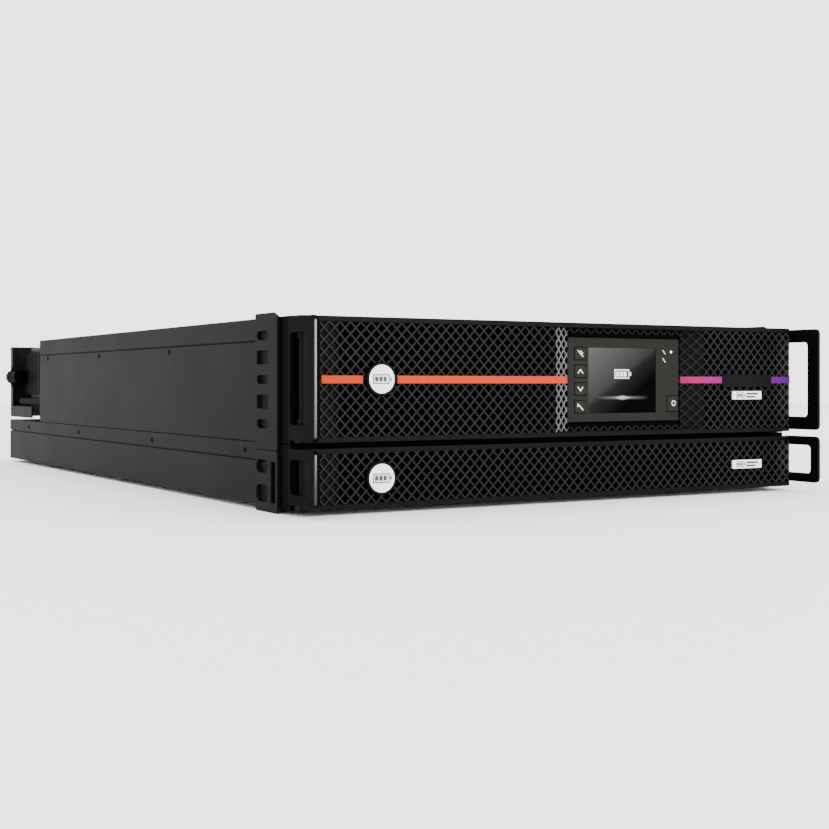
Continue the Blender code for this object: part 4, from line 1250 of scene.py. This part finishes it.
class UpsLooks(bpy.types.PropertyGroup):
    """Sizes and colours that can be changed before the pieces are built."""

    casing_colour: bpy.props.FloatVectorProperty(
        name="Casing colour", description="Powder coat of both casings", subtype="COLOR", size=3,
        min=0, max=1, default=(0.0057, 0.0056, 0.0048))
    mesh_width: bpy.props.FloatProperty(
        name="Mesh width", description="Width of one diamond of the grille", default=7.74 * MM,
        min=4 * MM, max=20 * MM, unit="LENGTH")
    mesh_height: bpy.props.FloatProperty(
        name="Mesh height", description="Height of one diamond of the grille", default=7.95 * MM,
        min=4 * MM, max=20 * MM, unit="LENGTH")
    strand: bpy.props.FloatProperty(
        name="Strand", description="Width of the grille's strands", default=1.2 * MM,
        min=0.5 * MM, max=3 * MM, unit="LENGTH")
    mesh_depth: bpy.props.FloatProperty(
        name="Mesh depth", description="Thickness of the grille", default=1.4 * MM,
        min=0.5 * MM, max=3 * MM, unit="LENGTH")
    screen_glow: bpy.props.FloatProperty(
        name="Screen glow", description="Brightness of the display", default=1.0, min=0, max=10)
    floor_size: bpy.props.FloatProperty(
        name="Floor size", description="Width of the floor", default=8.0, min=2, max=30, unit="LENGTH")
    surround: bpy.props.FloatProperty(
        name="Surround", description="Brightness of the studio's surround", default=3.2, min=0, max=10)
    light_power: bpy.props.FloatProperty(
        name="Light power", description="Brightness of the softboxes", default=1.0, min=0, max=10)


class Builder:
    """Shared by the operators: runs one build function and stops with an error if it added nothing."""

    bl_options = {"REGISTER", "UNDO"}
    adds = True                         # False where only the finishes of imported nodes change

    def execute(self, context):
        before = len(bpy.data.objects)
        self.build()
        if self.adds and len(bpy.data.objects) <= before:
            raise RuntimeError(f"{self.bl_label}: nothing was added")
        return {"FINISHED"}


class UPS_OT_casings(Builder, bpy.types.Operator):
    """Add both casings, their ears and their front frames."""

    bl_idname = "ups.casings"
    bl_label = "Casings"
    build = staticmethod(build_casings)


class UPS_OT_screws(Builder, bpy.types.Operator):
    """Add the countersunk screws of the casings' sides and roof."""

    bl_idname = "ups.screws"
    bl_label = "Casing screws"
    build = staticmethod(build_screws)


class UPS_OT_grilles(Builder, bpy.types.Operator):
    """Add the diamond mesh of both fronts and the plates behind it."""

    bl_idname = "ups.grilles"
    bl_label = "Grilles"
    build = staticmethod(build_grilles)


class UPS_OT_bezels(Builder, bpy.types.Operator):
    """Add both bezels, cut back where the mesh wraps over them."""

    bl_idname = "ups.bezels"
    bl_label = "Bezels"
    build = staticmethod(build_bezels)


class UPS_OT_handles(Builder, bpy.types.Operator):
    """Add the four rack handles."""

    bl_idname = "ups.handles"
    bl_label = "Handles"
    build = staticmethod(build_handles)


class UPS_OT_stripes(Builder, bpy.types.Operator):
    """Add the coloured stripes and the blank name plate."""

    bl_idname = "ups.stripes"
    bl_label = "Stripes"
    build = staticmethod(build_stripes)


class UPS_OT_badges(Builder, bpy.types.Operator):
    """Add the round badges and their bosses."""

    bl_idname = "ups.badges"
    bl_label = "Badges"
    build = staticmethod(build_badges)


class UPS_OT_labels(Builder, bpy.types.Operator):
    """Add the white stickers of both fronts."""

    bl_idname = "ups.labels"
    bl_label = "Labels"
    build = staticmethod(build_labels)


class UPS_OT_display(Builder, bpy.types.Operator):
    """Add the display housing, its glass, its lamp and its marks."""

    bl_idname = "ups.display"
    bl_label = "Display"
    build = staticmethod(build_display)


class UPS_OT_keys(Builder, bpy.types.Operator):
    """Add the five keys and their signs."""

    bl_idname = "ups.keys"
    bl_label = "Keys"
    build = staticmethod(build_keys)


class UPS_OT_rear_panels(Builder, bpy.types.Operator):
    """Add both rear panels and their screws."""

    bl_idname = "ups.rear_panels"
    bl_label = "Rear panels"
    build = staticmethod(build_rear_panels)


class UPS_OT_fans(Builder, bpy.types.Operator):
    """Add the fans, their guards and their screws."""

    bl_idname = "ups.fans"
    bl_label = "Fans"
    build = staticmethod(build_fans)


class UPS_OT_sockets(Builder, bpy.types.Operator):
    """Add both battery sockets and their contacts."""

    bl_idname = "ups.sockets"
    bl_label = "Battery sockets"
    build = staticmethod(build_sockets)


class UPS_OT_breakers(Builder, bpy.types.Operator):
    """Add both breakers and their levers."""

    bl_idname = "ups.breakers"
    bl_label = "Breakers"
    build = staticmethod(build_breakers)


class UPS_OT_network_card(Builder, bpy.types.Operator):
    """Add the network card, its bracket and its thumbscrews."""

    bl_idname = "ups.network_card"
    bl_label = "Network card"
    build = staticmethod(build_network_card)


class UPS_OT_distribution(Builder, bpy.types.Operator):
    """Add the distribution box, its end plate and its outlets."""

    bl_idname = "ups.distribution"
    bl_label = "Distribution box"
    build = staticmethod(build_distribution)


class UPS_OT_gland(Builder, bpy.types.Operator):
    """Add the turned cable gland."""

    bl_idname = "ups.gland"
    bl_label = "Cable gland"
    build = staticmethod(build_gland)


class UPS_OT_feet(Builder, bpy.types.Operator):
    """Add the four rubber feet."""

    bl_idname = "ups.feet"
    bl_label = "Feet"
    build = staticmethod(build_feet)


class UPS_OT_inside(Builder, bpy.types.Operator):
    """Give the parts inside the casings their finishes."""

    bl_idname = "ups.inside"
    bl_label = "Inside parts"
    adds = False
    build = staticmethod(build_inside)


class UPS_OT_stage(Builder, bpy.types.Operator):
    """Add the floor, the lights and the camera."""

    bl_idname = "ups.stage"
    bl_label = "Stage"
    build = staticmethod(build_stage)


OPERATORS = (UPS_OT_casings,
             UPS_OT_screws,
             UPS_OT_grilles,
             UPS_OT_bezels,
             UPS_OT_handles,
             UPS_OT_stripes,
             UPS_OT_badges,
             UPS_OT_labels,
             UPS_OT_display,
             UPS_OT_keys,
             UPS_OT_rear_panels,
             UPS_OT_fans,
             UPS_OT_sockets,
             UPS_OT_breakers,
             UPS_OT_network_card,
             UPS_OT_distribution,
             UPS_OT_gland,
             UPS_OT_feet,
             UPS_OT_inside,
             UPS_OT_stage)


class UPS_PT_sidebar(bpy.types.Panel):
    """Sidebar panel with the settings and one button for each group of pieces."""

    bl_label = "Rackmount UPS"
    bl_space_type = "VIEW_3D"
    bl_region_type = "UI"
    bl_category = "UPS"

    def draw(self, context):
        for setting in UpsLooks.__annotations__:
            self.layout.prop(context.scene.ups_looks, setting)
        for operator in OPERATORS:
            self.layout.operator(operator.bl_idname)


def register():
    for kind in (UpsLooks, *OPERATORS, UPS_PT_sidebar):
        bpy.utils.register_class(kind)
    bpy.types.Scene.ups_looks = bpy.props.PointerProperty(type=UpsLooks)


def unregister():
    del bpy.types.Scene.ups_looks
    for kind in reversed((UpsLooks, *OPERATORS, UPS_PT_sidebar)):
        bpy.utils.unregister_class(kind)


def main():
    register()
    for operator in OPERATORS:
        group, name = operator.bl_idname.split(".")
        getattr(getattr(bpy.ops, group), name)()
    bpy.context.view_layer.update()


if __name__ == "__main__":
    main()
